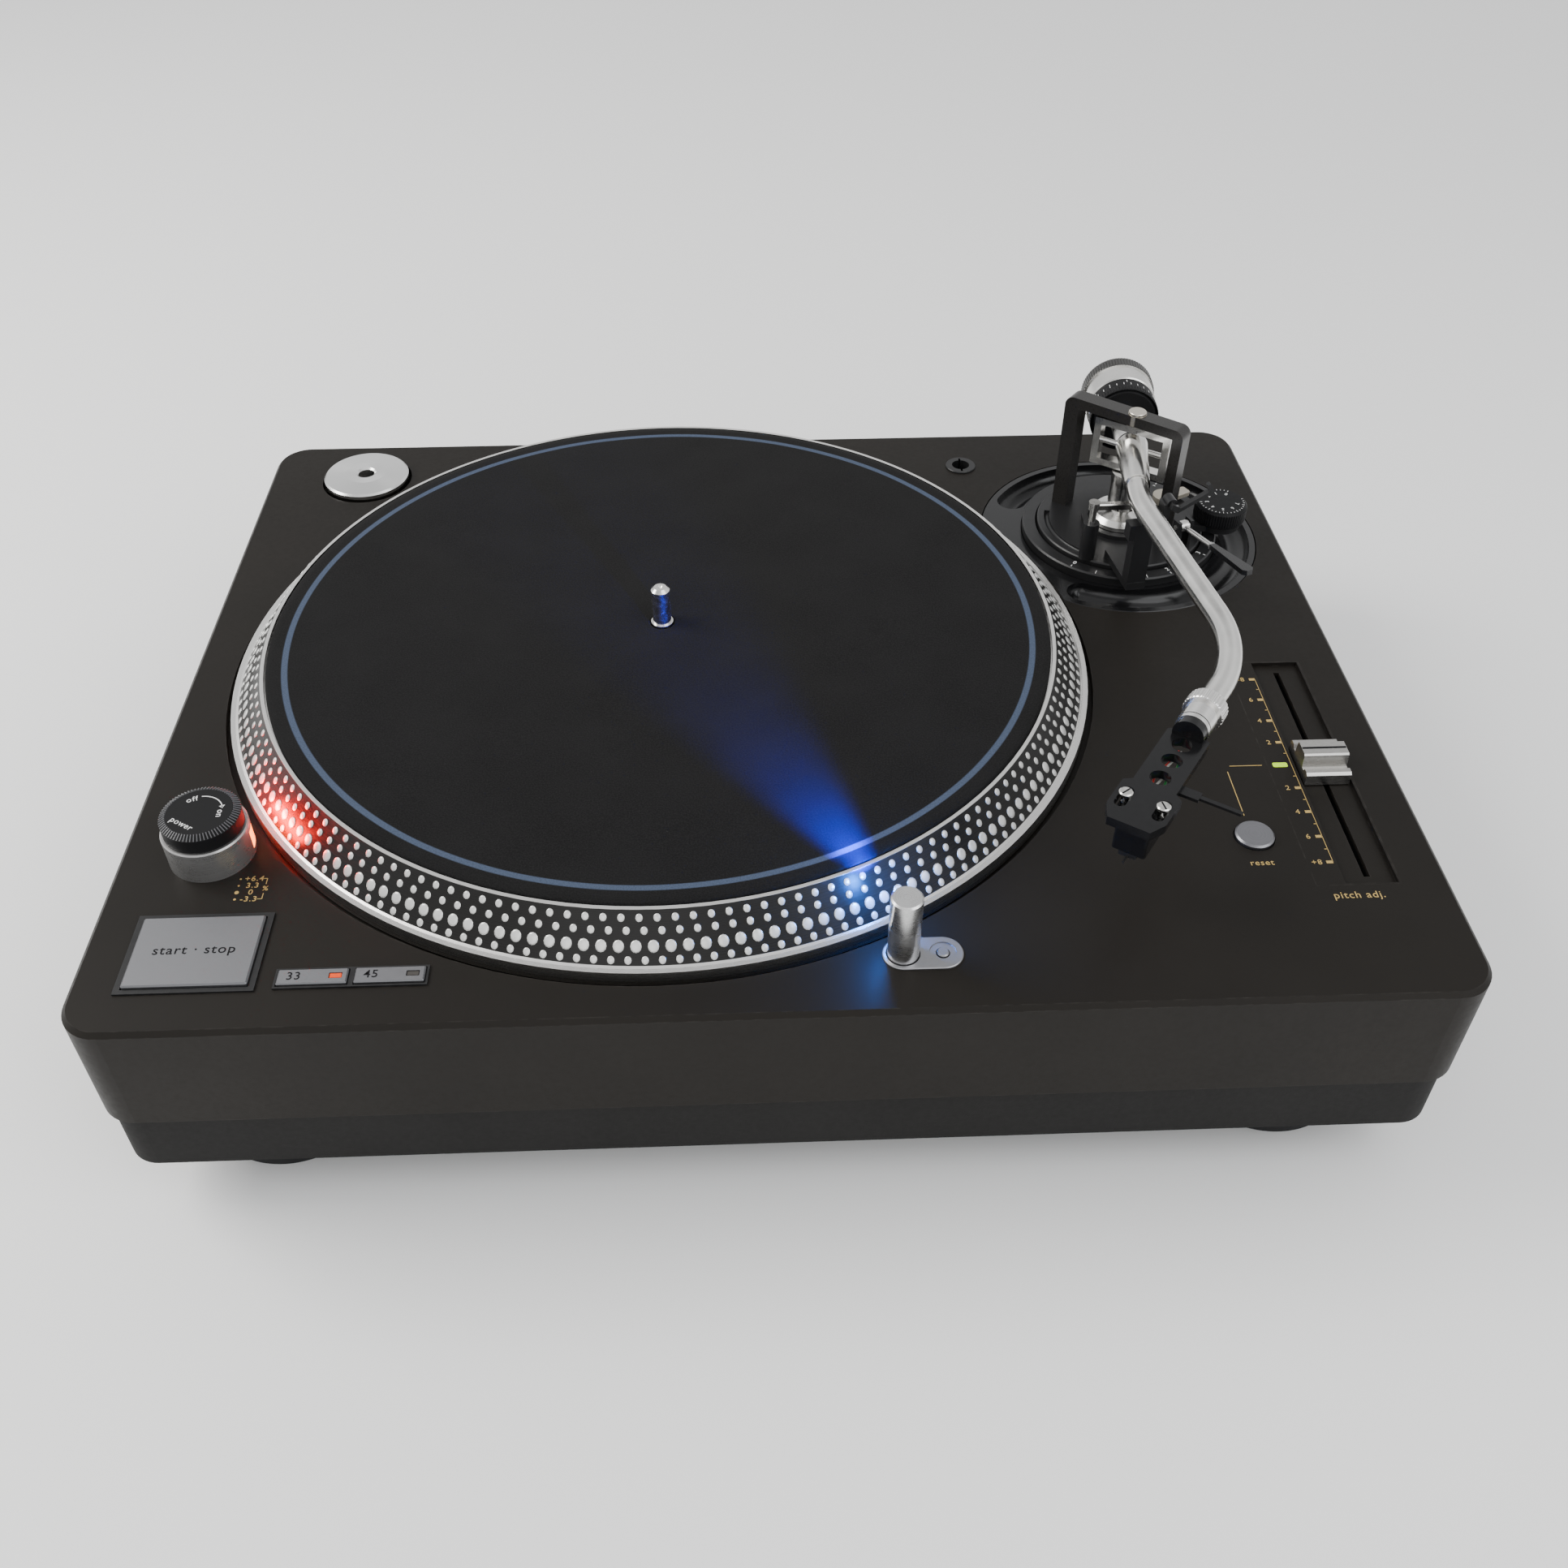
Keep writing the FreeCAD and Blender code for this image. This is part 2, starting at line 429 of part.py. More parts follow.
# ---------------------------------------------------------------- drive
def build_drive():
    """Bearing, coils and the platter with its magnet, all about the spindle's axis."""
    top = PLATE_LOW
    pieces["bearing_housing"] = turned(
        "bearing_housing",
        [("0", "housing_low"), ("housing_radius", "housing_low"),
         ("housing_radius", f"{top} - flange_thick"),
         ("flange_radius", f"{top} - flange_thick"), ("flange_radius", top), ("housing_radius", top),
         ("housing_radius", "platter_low - 1.5"), ("shaft_bore", "platter_low - 1.5"),
         ("shaft_bore", "shaft_low"),
         ("0", "shaft_low")],
        (*SPINDLE, "0"),
    )
    coils = []
    for k in range(9):
        angle = f"{k} * 40"
        spot = (f"spindle_x + coil_circle * cos({angle})", f"spindle_y + coil_circle * sin({angle})")
        coils.append(turned(
            f"coil_{k}",
            [("coil_hole", "0"), ("coil_radius", "0"), ("coil_radius", "coil_top - coil_low"),
             ("coil_hole", "coil_top - coil_low")],
            (*spot, "coil_low"),
        ))
    disc = turned(
        "coil_disc",
        [("housing_radius + 0.5", top), ("motor_hole - 1", top), ("motor_hole - 1", "coil_low"),
         ("housing_radius + 0.5", "coil_low")],
        (*SPINDLE, "0"),
    )
    pieces["stator_coils"] = fuse("stator_coils", disc, *coils)
    pieces["spindle"] = turned(
        "spindle",
        [("0", "shaft_low + 0.05"), ("shaft_radius", "shaft_low + 0.05"), ("shaft_radius", "platter_low"),
         ("hub_radius", "platter_low"), ("hub_radius", "disc_under"), ("spindle_root", "disc_under"),
         ("spindle_root", "root_top"), ("spindle_radius", "root_top"),
         ("spindle_radius", "spindle_top - 1.2"), ("spindle_radius - 1.2", "spindle_top"),
         ("1", "spindle_top"), ("0", "spindle_top - 0.8")],
        (*SPINDLE, "0"),
    )
    pieces["platter"] = turned(
        "platter",
        [("spindle_root", "disc_under"), ("spindle_root", "mat_seat"), ("rim_inner", "mat_seat"),
         ("rim_inner", "rim_top"), ("slope_inner", "rim_top"), ("slope_outer", "lip_top + 0.3"),
         ("platter_radius - lip_width", "lip_top"), ("platter_radius", "lip_top"),
         ("platter_radius", "platter_low"), ("cavity_radius", "platter_low"),
         ("cavity_radius", "disc_under - 6"),
         ("cavity_radius - 8", "disc_under")],
        (*SPINDLE, "0"),
    )
    pieces["rotor_magnet"] = turned(
        "rotor_magnet",
        [("magnet_inner", "magnet_low"), ("magnet_outer", "magnet_low"), ("magnet_outer", "disc_under"),
         ("magnet_inner", "disc_under")],
        (*SPINDLE, "0"),
    )
    pieces["slipmat"] = turned(
        "slipmat",
        [("mat_hole", "mat_seat"), ("mat_radius", "mat_seat"), ("mat_radius", "mat_seat + mat_thick"),
         ("mat_hole", "mat_seat + mat_thick")],
        (*SPINDLE, "0"),
    )
    rise = "adapter_height"
    pieces["adapter"] = turned(
        "adapter",
        [("spindle_radius + 0.05", "0"), ("adapter_radius - 0.6", "0"), ("adapter_radius", "0.6"),
         ("adapter_radius", f"{rise} - 1.4"), ("adapter_radius - 0.8", f"{rise} - 0.6"),
         ("adapter_cone", rise), ("spindle_radius + 0.9", rise),
         ("spindle_radius + 0.05", f"{rise} - 0.8")],
        ("adapter_x", "adapter_y", "deck_top - recess_depth"),
    )


# ---------------------------------------------------------------- controls
def build_buttons():
    """Start and stop, the two speeds and the pitch reset: caps on stems that press into the deck."""
    gap = "2 * press_gap"
    floor = "deck_top + bezel_rise - bezel_height"
    start_opening = (f"start_length + {gap}", f"start_depth + {gap}", "bezel_height + 2")
    start_bezel = cut(
        "start_bezel",
        slab("start_bezel_block", ("start_length + 2 * start_frame", "start_depth + 2 * start_frame - 0.6",
                                   "bezel_height"), ("start_x", "start_y", floor)),
        slab("start_bezel_hole", start_opening, ("start_x", "start_y", f"{floor} - 1")),
    )
    pieces["start_button"] = fuse(
        "start_button",
        slab("start_cap", ("start_length", "start_depth", "5"),
             ("start_x", "start_y", "deck_top + start_rise - 5"),
             corner="0.8", edge="0.5"),
        slab("start_stem", ("stem_side", "stem_side", "deck_top + start_rise - 4.5 - stem_low"),
             ("start_x", "start_y", "stem_low")),
    )
    speed_bezel = slab("speed_bezel_block", ("speed_pitch + speed_length + 2 * speed_frame",
                                             "speed_depth + 2 * speed_frame", "bezel_height"),
                       ("speed_x", "speed_y", floor))
    holes, lamps = [], []
    for side, name in ((-1, "button_low_speed"), (1, "button_high_speed")):
        x = f"speed_x + {side} * speed_pitch / 2"
        holes.append(slab(f"{name}_hole",
                          (f"speed_length + {gap}", f"speed_depth + {gap}", "bezel_height + 2"),
                          (x, "speed_y", f"{floor} - 1")))
        cap = fuse(
            f"{name}_cap",
            slab(f"{name}_plate", ("speed_length", "speed_depth", "4.4"),
                 (x, "speed_y", "deck_top + speed_rise - 4.4"),
                 corner="0.5", edge="0.4"),
            slab(f"{name}_stem", ("4", "4", "deck_top + speed_rise - 4 - stem_low"),
                 (x, "speed_y", "stem_low")),
        )
        window = slab(f"{name}_window", ("lamp_length + 2 * lamp_gap", "lamp_depth + 2 * lamp_gap", "20"),
                      (f"{x} + lamp_dx", "speed_y", "deck_top - 10"))
        pieces[name] = cut(name, cap, window)
        lamps.append(slab(f"{name}_lamp",
                          ("lamp_length", "lamp_depth", "deck_top + speed_rise - 0.1 - lamp_low"),
                          (f"{x} + lamp_dx", "speed_y", "lamp_low")))
    pieces["button_bezels"] = group("button_bezels", start_bezel, cut("speed_bezel", speed_bezel, *holes))
    lamps.append(slab("quartz_lamp", ("led_length", "led_width", "3"), ("led_x", "led_y", "deck_top - 2.9"),
                      corner="0.6"))
    pieces["indicator_lamps"] = group("indicator_lamps", *lamps)
    pieces["reset_button"] = turned(
        "reset_button",
        [("0", "stem_low"), ("2.5", "stem_low"), ("2.5", "deck_top - 5"), ("reset_radius", "deck_top - 5"),
         ("reset_radius", "deck_top + reset_rise - 0.6"), ("reset_radius - 0.6", "deck_top + reset_rise"),
         ("0", "deck_top + reset_rise")],
        ("reset_x", "reset_y", "0"),
    )


def build_strobe():
    """Pod that lights the platter's dots, with the power switch turning on its top."""
    pod = turned(
        "pod_turned",
        [("0", PLATE_LOW), ("pod_spigot", PLATE_LOW), ("pod_spigot", TOP), ("pod_radius", TOP),
         ("pod_radius", "deck_top + pod_height - 0.5"), ("pod_radius - 0.5", "deck_top + pod_height"),
         ("power_stem + 0.1", "deck_top + pod_height"), ("power_stem + 0.1", "deck_top + 1"),
         ("0", "deck_top + 1")],
        ("pod_x", "pod_y", "0"),
    )
    start = spun(SIZES["window_heading"] - SIZES["window_sweep"] / 2)
    at = ("pod_x", "pod_y")

    def sector(name, inner, outer, low, high):
        drum = rod(f"{name}_drum", outer, f"({high}) - ({low})", (*at, low), start, "window_sweep")
        core = rod(f"{name}_core", inner, f"({high}) - ({low}) + 2", (*at, f"({low}) - 1"))
        return cut(name, drum, core)

    slot = sector("window_slot", "pod_radius - window_thick", "pod_radius + 1", "window_low", "window_high")
    pieces["strobe_pod"] = cut("strobe_pod", pod, slot)
    pieces["strobe_window"] = sector(
        "strobe_window", "pod_radius - window_thick", "pod_radius - 0.1", "window_low", "window_high"
    )
    low = "deck_top + pod_height + 0.3"
    pieces["power_knob"] = turned(
        "power_knob",
        [("0", "deck_top + 1.3"), ("power_stem", "deck_top + 1.3"), ("power_stem", low),
         ("power_radius", low),
         ("power_radius", f"{low} + power_height - 1.2"), ("power_cap", f"{low} + power_height"),
         ("0", f"{low} + power_height")],
        ("pod_x", "pod_y", "0"),
    )


def build_target_light():
    """Small plate with the pop-up lamp at its left end and the lamp's button at its right end."""
    middle = ("light_x + light_span / 2", "light_y")
    plate = slab("light_plate_block", ("light_span + 2 * light_radius", "2 * light_radius", "4"),
                 (*middle, "deck_top + light_rise - 4"), corner="light_radius - 0.01", edge="0.3")
    button_at = ("light_x + light_span", "light_y")
    pieces["light_plate"] = cut(
        "light_plate", plate,
        rod("light_well", "tube_well", "12", ("light_x", "light_y", "deck_top - 8")),
        rod("pip_well", "pip_well", "12", (*button_at, "deck_top - 8")),
        rod("pip_dish", "dish_radius", "2", (*button_at, "deck_top + light_rise - 0.5")),
    )
    pieces["light_button"] = turned(
        "light_button",
        [("0", "stem_low"), ("pip_radius", "stem_low"), ("pip_radius", "deck_top + light_rise - 0.1"),
         ("pip_radius - 0.4", "deck_top + light_rise + 0.3"), ("0", "deck_top + light_rise + 0.3")],
        (*button_at, "0"),
    )
    tube = turned(
        "lamp_turned",
        [("0", "tube_low"), ("tube_radius", "tube_low"), ("tube_radius", "tube_top - 0.6"),
         ("tube_radius - 0.6", "tube_top"), ("0", "tube_top")],
        ("light_x", "light_y", "0"),
    )
    facing = pointing(heading("lens_heading"))
    start = ("light_x + 1.5 * cos(lens_heading)", "light_y + 1.5 * sin(lens_heading)", "lens_z")
    pieces["target_lamp"] = cut("target_lamp", tube, rod("lens_bore", "lens_radius", "6", start, facing))
    pieces["target_lens"] = turned(
        "target_lens",
        [("0", "0"), ("lens_radius", "0"), ("lens_radius", "2.8"), ("lens_radius - 1.2", "3.5"),
         ("0", "3.5")],
        start, facing,
    )


def build_pitch_fader():
    """Panel with the fader's slot, the potentiometer under it and the ridged knob."""
    low = "deck_top - panel_thick"
    panel = slab("panel_block", ("panel_width", "panel_length", "panel_thick"), ("panel_x", "panel_y", low))
    pieces["pitch_panel"] = cut(
        "pitch_panel", panel,
        slab("fader_recess", ("fader_width", "fader_length", "fader_depth + 1"),
             ("fader_x", "panel_y", "deck_top - fader_depth")),
        slab("fader_slot", ("slot_width", "slot_length", "10"), ("fader_x", "panel_y", "deck_top - 6")),
        slab("quartz_hole", ("led_length", "led_width", "8"), ("led_x", "led_y", "deck_top - 5"),
             corner="0.6"),
    )
    pot = slab("pot_block", ("pot_width", "panel_length - 2", "pot_height"),
               ("fader_x", "panel_y", f"{low} - pot_height"))
    pieces["slider_potentiometer"] = cut(
        "slider_potentiometer", pot,
        slab("pot_slot", ("slot_width + 0.6", "slot_length + 2", "6"),
             ("fader_x", "panel_y", f"{low} - 5")),
    )
    half, base = "knob_length / 2", "knob_base"
    steps = [("0", "0"), ("0", "knob_base + 0.6"), ("1", "knob_ridge"), ("3", "knob_ridge"), ("4", base),
             ("knob_length / 2 - knob_block - 0.6", base),
             ("knob_length / 2 - knob_block", "knob_top - 0.6"),
             ("knob_length / 2 - knob_block + 0.6", "knob_top")]
    front = [(f"{inset} - {half}", z) for inset, z in steps]
    rear = [(f"{half} - ({inset})", z) for inset, z in reversed(steps)]
    front[0], rear[-1] = (f"-{half}", "0"), (half, "0")
    cap = prism("fader_cap", front + rear, "knob_width", ("fader_x - knob_width / 2", "led_y", "knob_low"),
                plane="YZ_Plane")
    stem = slab("fader_stem", ("fader_stem", "4", "knob_low + 1 - (deck_top - 7)"),
                ("fader_x", "led_y", "deck_top - 7"))
    pieces["pitch_knob"] = fuse("pitch_knob", cap, stem)


# ---------------------------------------------------------------- arm base
def build_dish():
    """Black dish let into the deck, with a rounded moat round the height ring."""
    disc = turned(
        "dish_disc",
        [("dish_bore", "dish_low"), ("dish_outer", "dish_low"), ("dish_outer", "deck_top - 0.5"),
         ("dish_outer - 0.5", TOP), ("well_radius", TOP), ("well_radius", "dish_floor"),
         ("dish_bore", "dish_floor")],
        (*ARM, "0"),
    )
    moat = doc.addObject("Part::Torus", "moat")
    bind(moat, "Radius1", "moat_radius")
    bind(moat, "Radius2", "moat_width")
    bind(moat, "Angle3", "moat_sweep")
    place(moat, (*ARM, TOP), spun(SIZES["moat_start"]))
    ends = []
    for k, angle in enumerate(("moat_start", "moat_start + moat_sweep")):
        ball = doc.addObject("Part::Sphere", f"moat_end_{k}")
        bind(ball, "Radius", "moat_width")
        ends.append(place(ball, (f"arm_x + moat_radius * cos({angle})",
                                 f"arm_y + moat_radius * sin({angle})", TOP)))
    limit = rod("dish_limit", "recess_radius + 0.6", "deck_top", (*SPINDLE, "0"))
    pieces["arm_dish"] = cut("arm_dish", disc, limit, moat, *ends)
    pieces["spare_socket"] = cut(
        "spare_socket",
        turned(
            "spare_turned",
            [("spare_bore", "deck_top - spare_depth"), ("spare_tube", "deck_top - spare_depth"),
             ("spare_tube", TOP),
             ("spare_flange", TOP), ("spare_flange", "deck_top + spare_rise - 0.3"),
             ("spare_flange - 0.3", "deck_top + spare_rise"), ("spare_bore", "deck_top + spare_rise")],
            ("spare_x", "spare_y", "0"),
        ),
        slab("keyway", ("keyway_width", "2 * keyway_reach", "spare_depth"),
             ("spare_x", "spare_y", "deck_top + spare_rise - 6")),
    )


def build_height_ring():
    pieces["height_ring"] = turned(
        "height_ring",
        [("ring_inner", "dish_floor"), ("ring_outer", "dish_floor"), ("ring_outer", "ring_top - 0.6"),
         ("ring_outer - 0.6", "ring_top"), ("ring_inner + 0.4", "ring_top"),
         ("ring_inner", "ring_top - 0.4")],
        (*ARM, "0"),
    )


def build_base_plate():
    """Plate that carries the arm and slides up and down in the dish as the height ring turns."""
    disc = turned(
        "plate_turned",
        [("guide_bore", "guide_low"), ("guide_radius", "guide_low"), ("guide_radius", "plate_low"),
         ("plate_radius", "plate_low"), ("plate_radius", "plate_top - 0.5"),
         ("plate_radius - 0.5", "plate_top"),
         ("collar_outer", "plate_top"), ("collar_outer", "collar_top"), ("collar_inner", "collar_top"),
         ("collar_inner", "plate_top"), ("pillar_neck", "plate_top"), ("pillar_neck", "plate_top - 6"),
         ("guide_bore", "plate_top - 6")],
        (*ARM, "0"),
    )
    groove = doc.addObject("Part::Torus", "plate_groove")
    bind(groove, "Radius1", "groove_radius")
    bind(groove, "Radius2", "groove_width")
    bind(groove, "Angle3", "groove_sweep")
    place(groove, (*ARM, "plate_top"), spun(SIZES["groove_start"]))
    skate = ("arm_x + skate_dx", "arm_y + skate_dy")
    bracket = slab("skate_bracket", ("bracket_length", "bracket_width", "skate_low - plate_top - 0.3"),
                   ("arm_x + skate_dx - bracket_length / 2", "arm_y + skate_dy", "plate_top"))
    pad = rod("skate_pad", "skate_radius - 1.4", "skate_low - plate_top - 0.3", (*skate, "plate_top"))
    skate_pin = rod("skate_pin", "skate_pin", "skate_top - plate_top - 2", (*skate, "plate_top"))
    lock_pin = rod("lock_pin", "lock_pin", "lock_top - plate_top - 0.6",
                   ("arm_x + lock_dx", "arm_y + lock_dy", "plate_top"))
    ears = []
    across = heading("cue_heading")
    for k, side in enumerate((-1, 1)):
        offset = f"{side} * (cue_hub_width / 2 + 0.3 + ear_thick / 2)"
        x = f"arm_x + cue_dx - ({offset}) * sin(cue_heading)"
        y = f"arm_y + cue_dy + ({offset}) * cos(cue_heading)"
        ears.append(slab(f"cue_ear_{k}", ("ear_length", "ear_thick", "cue_z + 3 - plate_top"),
                         (x, y, "plate_top"),
                         spun(SIZES["cue_heading"])))
    sideways = pointing((-across[1], across[0], 0))
    pin_hole = rod("cue_pin_hole", "cue_rod + 0.06", "16",
                   ("arm_x + cue_dx + 8 * sin(cue_heading)", "arm_y + cue_dy - 8 * cos(cue_heading)",
                    "cue_z"), sideways)
    lift = ("arm_x + lift_dx", "arm_y + lift_dy")
    cylinder = rod("lift_cylinder", "lift_radius", "lift_high - lift_low", (*lift, "lift_low"))
    lift_bore = rod("lift_bore", "pin_radius + 0.06", "lift_high - lift_low", (*lift, "lift_low + 2"))
    body = fuse("plate_body", disc, bracket, pad, skate_pin, lock_pin, cylinder, *ears)
    pieces["arm_base_plate"] = cut("arm_base_plate", body, groove, pin_hole, lift_bore)
    pieces["arm_pillar"] = turned(
        "arm_pillar",
        [("0", "plate_top"), ("pillar_radius", "plate_top"), ("pillar_radius", "pillar_step - 2"),
         ("pillar_radius - 2", "pillar_step"), ("pillar_neck", "pillar_step + 2"),
         ("pillar_neck", "pillar_top"),
         ("pivot_radius", "pillar_top"), ("pivot_radius", "pillar_top + 3"), ("0", "pillar_top + 3")],
        (*ARM, "0"),
    )


def build_bridge():
    """Yoke over the gimbal on two legs, and the upper pivot screw through its middle."""
    inner_long, inner_short = "bridge_long - long_post", "bridge_short - post_thick"
    foot, under, top = "plate_top", "bridge_low", "bridge_top"
    outline = [
        ("-bridge_short", foot), (f"-({inner_short})", foot), (f"-({inner_short})", under),
        (inner_long, under), (inner_long, foot), ("bridge_long", foot), ("bridge_long", top),
        ("-bridge_short", top),
    ]
    yoke = prism("bridge_yoke", outline, "bridge_width",
                 (*from_arm("bridge_heading", "0", "bridge_width / 2"), "0"),
                 spun(SIZES["bridge_heading"]), plane="XZ_Plane")

    def is_shoulder(edge):
        ends = [vertex.Point for vertex in (edge.Vertexes[0], edge.Vertexes[-1])]
        crosswise = abs(ends[0].x - ends[1].x) < 1e-6 and abs(ends[0].y - ends[1].y) > 1e-6
        return crosswise and min(end.z for end in ends) > SIZES["bridge_top"] - 1e-6

    dress(yoke, "Fillet", chosen_edges(yoke.Tip, is_shoulder), "bridge_corner")
    screw = turned(
        "pivot_screw",
        [("0", "bridge_low - 3.4"), ("pivot_radius", "bridge_low - 3.4"), ("pivot_radius", "bridge_top"),
         ("bridge_screw", "bridge_top"), ("bridge_screw", "bridge_top + screw_rise - 0.3"),
         ("bridge_screw - 0.3", "bridge_top + screw_rise"), ("0", "bridge_top + screw_rise")],
        (*ARM, "0"),
    )
    pieces["gimbal_bridge"] = fuse("gimbal_bridge", yoke, screw)


def build_arm_rest():
    """Armrest under the tube, its clip folded open, and the arm lift beside it."""
    turn = spun(SIZES["rest_heading"])

    def beside(side, along="0"):
        x = f"arm_x + rest_dx + ({along}) * cos(rest_heading) - ({side}) * sin(rest_heading)"
        y = f"arm_y + rest_dy + ({along}) * sin(rest_heading) + ({side}) * cos(rest_heading)"
        return (x, y)

    foot = slab("rest_foot", ("rest_foot", "rest_width", "3.2"), (*beside("0", "-10"), "plate_top"), turn)
    post = slab("rest_post", ("rest_thick", "rest_width", "saddle_top - 5 - plate_top"),
                (*beside("0"), "plate_top"), turn)
    saddle = slab("rest_saddle", ("rest_thick", "2 * rest_side", "7"), (*beside("0"), "saddle_top - 7"),
                  turn)
    # The wall stands on the side away from the platter only, so that the arm can swing out.
    wall = slab("rest_wall", ("rest_thick", "rest_wall", "rest_high - saddle_top + 7"),
                (*beside("rest_side + rest_wall / 2 - 0.3"), "saddle_top - 7"), turn)
    along = heading("rest_heading")
    trough = rod("rest_trough", "saddle_radius", "20", (*beside("0", "-10"), "arm_z"), pointing(along))
    hinge_hole = rod("clip_hole", "clip_pin + 0.06", "20", (*beside("clip_side", "-10"), "clip_z"),
                     pointing(along))
    lug = rod("clip_lug", "clip_lug", "rest_thick", (*beside("clip_side", "-rest_thick / 2"), "clip_z"),
              pointing(along))
    body = cut("rest_body", fuse("rest_blocks", foot, post, saddle, wall), trough)
    pieces["armrest"] = cut("armrest", fuse("rest_with_lug", body, lug), hinge_hole)
    # The clip is drawn shut over the tube, then folded back about its pin.
    folded = turn.multiply(FreeCAD.Rotation(FreeCAD.Vector(1, 0, 0), -SIZES["clip_open"]))
    strap = prism(
        "clip_strap",
        [("1.8", "0"), ("0", "2 * clip_thick"), ("-clip_reach", "2 * clip_thick"),
         ("-clip_reach - 1", "clip_thick + 0.6"),
         ("-clip_reach - 1", "-1.4"), ("-clip_reach + 0.4", "-1.4"), ("-clip_reach + 0.6", "clip_thick"),
         ("-2", "clip_thick"), ("0", "-1.8")],
        "clip_width", (*beside("clip_side", "rest_thick / 2 + 0.4"), "clip_z"), folded, plane="YZ_Plane",
    )
    pin = rod("clip_pin", "clip_pin", "rest_thick + 2.4",
              (*beside("clip_side", "-rest_thick / 2 - 1"), "clip_z"),
              pointing(along))
    pieces["armrest_clip"] = fuse("armrest_clip", strap, pin)


def build_cueing():
    """Cue lever on its ears, and the lift bar that it raises under the arm."""
    level = spun(SIZES["cue_heading"])
    raised = level.multiply(FreeCAD.Rotation(FreeCAD.Vector(0, 1, 0), -SIZES["cue_rise"]))
    along = heading("cue_heading", SIZES["cue_rise"])
    across = heading("cue_heading")
    sideways = pointing((-across[1], across[0], 0))
    x, y = "arm_x + cue_dx", "arm_y + cue_dy"

    def pivot(reach):
        return (f"{x} + ({reach}) * sin(cue_heading)", f"{y} - ({reach}) * cos(cue_heading)", "cue_z")

    hub = rod("cue_hub", "cue_hub", "cue_hub_width", pivot("cue_hub_width / 2"), sideways)
    pin = rod("cue_pin", "cue_rod", "8", pivot("4"), sideways)
    lever = rod("cue_rod", "cue_rod", "blade_start + 1", (x, y, "cue_z"), pointing(along))
    blade = prism(
        "cue_blade",
        [("blade_start", "-blade_root / 2"), ("blade_end - 1.6", "-blade_tip / 2"),
         ("blade_end", "-blade_tip / 4"),
         ("blade_end", "blade_tip / 4"), ("blade_end - 1.6", "blade_tip / 2"),
         ("blade_start", "blade_root / 2")],
        "blade_thick", (x, y, "cue_z - blade_thick / 2"), raised,
    )
    pieces["cue_lever"] = fuse("cue_lever", hub, pin, lever, blade)
    spot = ("arm_x + lift_dx", "arm_y + lift_dy")
    bar = slab("lift_beam", ("bar_reach", "bar_width", "bar_high - bar_low"),
               ("arm_x + lift_dx + bar_reach / 2", spot[1], "bar_low"), edge="0.4")
    head = rod("lift_head", "bar_head", "bar_high - bar_low + 0.6", (*spot, "bar_low"))
    pin = rod("lift_pin", "pin_radius", "bar_high - lift_low - 6", (*spot, "lift_low + 6"))
    pieces["lift_bar"] = fuse("lift_bar", bar, head, pin)


def build_small_knobs():
    """Anti-skate dial and the lever that locks the arm's height."""
    pieces["skate_knob"] = turned(
        "skate_knob",
        [("skate_pin + 0.06", "skate_low"), ("skate_radius", "skate_low"),
         ("skate_radius", "skate_top - 0.8"),
         ("skate_radius - 0.8", "skate_top"), ("0", "skate_top"), ("0", "skate_top - 1.6"),
         ("skate_pin + 0.06", "skate_top - 1.6")],
        ("arm_x + skate_dx", "arm_y + skate_dy", "0"),
    )
    spot = ("arm_x + lock_dx", "arm_y + lock_dy")
    turn = spun(SIZES["lock_heading"])
    head = rod("lock_head", "lock_radius", "lock_top - lock_low", (*spot, "lock_low"))
    middle = "(lock_reach + 1) / 2"
    tab = slab("lock_tab", ("lock_reach - 1", "lock_width", "lock_top - lock_low - 1"),
               (f"{spot[0]} + {middle} * cos(lock_heading)", f"{spot[1]} + {middle} * sin(lock_heading)",
                "lock_low"),
               turn, corner="1.2", edge="0.3")
    hole = rod("lock_hole", "lock_pin + 0.06", "lock_top - lock_low", (*spot, "lock_low - 0.5"))
    pieces["lock_lever"] = cut("lock_lever", fuse("lock_body", head, tab), hole)


# ---------------------------------------------------------------- arm
def build_gimbal():
    """Upright ring that swings between pillar and bridge and carries the arm's tilt pins."""
    turn = spun(SIZES["shell_heading"] + 90)
    size = ("2 * gimbal_half", "gimbal_thick", "gimbal_height")
    frame = slab("gimbal_frame", size, (*ARM, "arm_z - gimbal_height / 2"), turn)
    gap = ("2 * (gimbal_half - gimbal_wall)", "gimbal_thick + 2", "gimbal_height - 2 * gimbal_wall")
    inside = slab("gimbal_gap", gap, (*ARM, "arm_z - gimbal_height / 2 + gimbal_wall"), turn)
    side = "(gimbal_half + 1)"
    tilt_hole = rod("tilt_hole", "tilt_bore", f"2 * {side}",
                    (f"arm_x + {side} * sin(shell_heading)", f"arm_y - {side} * cos(shell_heading)",
                     "arm_z"),
                    pointing(sideways_of("shell_heading")))
    swing_hole = rod("swing_hole", "pivot_bore", "gimbal_height + 2",
                     (*ARM, "arm_z - gimbal_height / 2 - 1"))
    pieces["gimbal_ring"] = cut("gimbal_ring", frame, inside, tilt_hole, swing_hole)


def sideways_of(name):
    """Level unit vector to the left of a heading."""
    x, y, _ = heading(name)
    return (-y, x, 0)


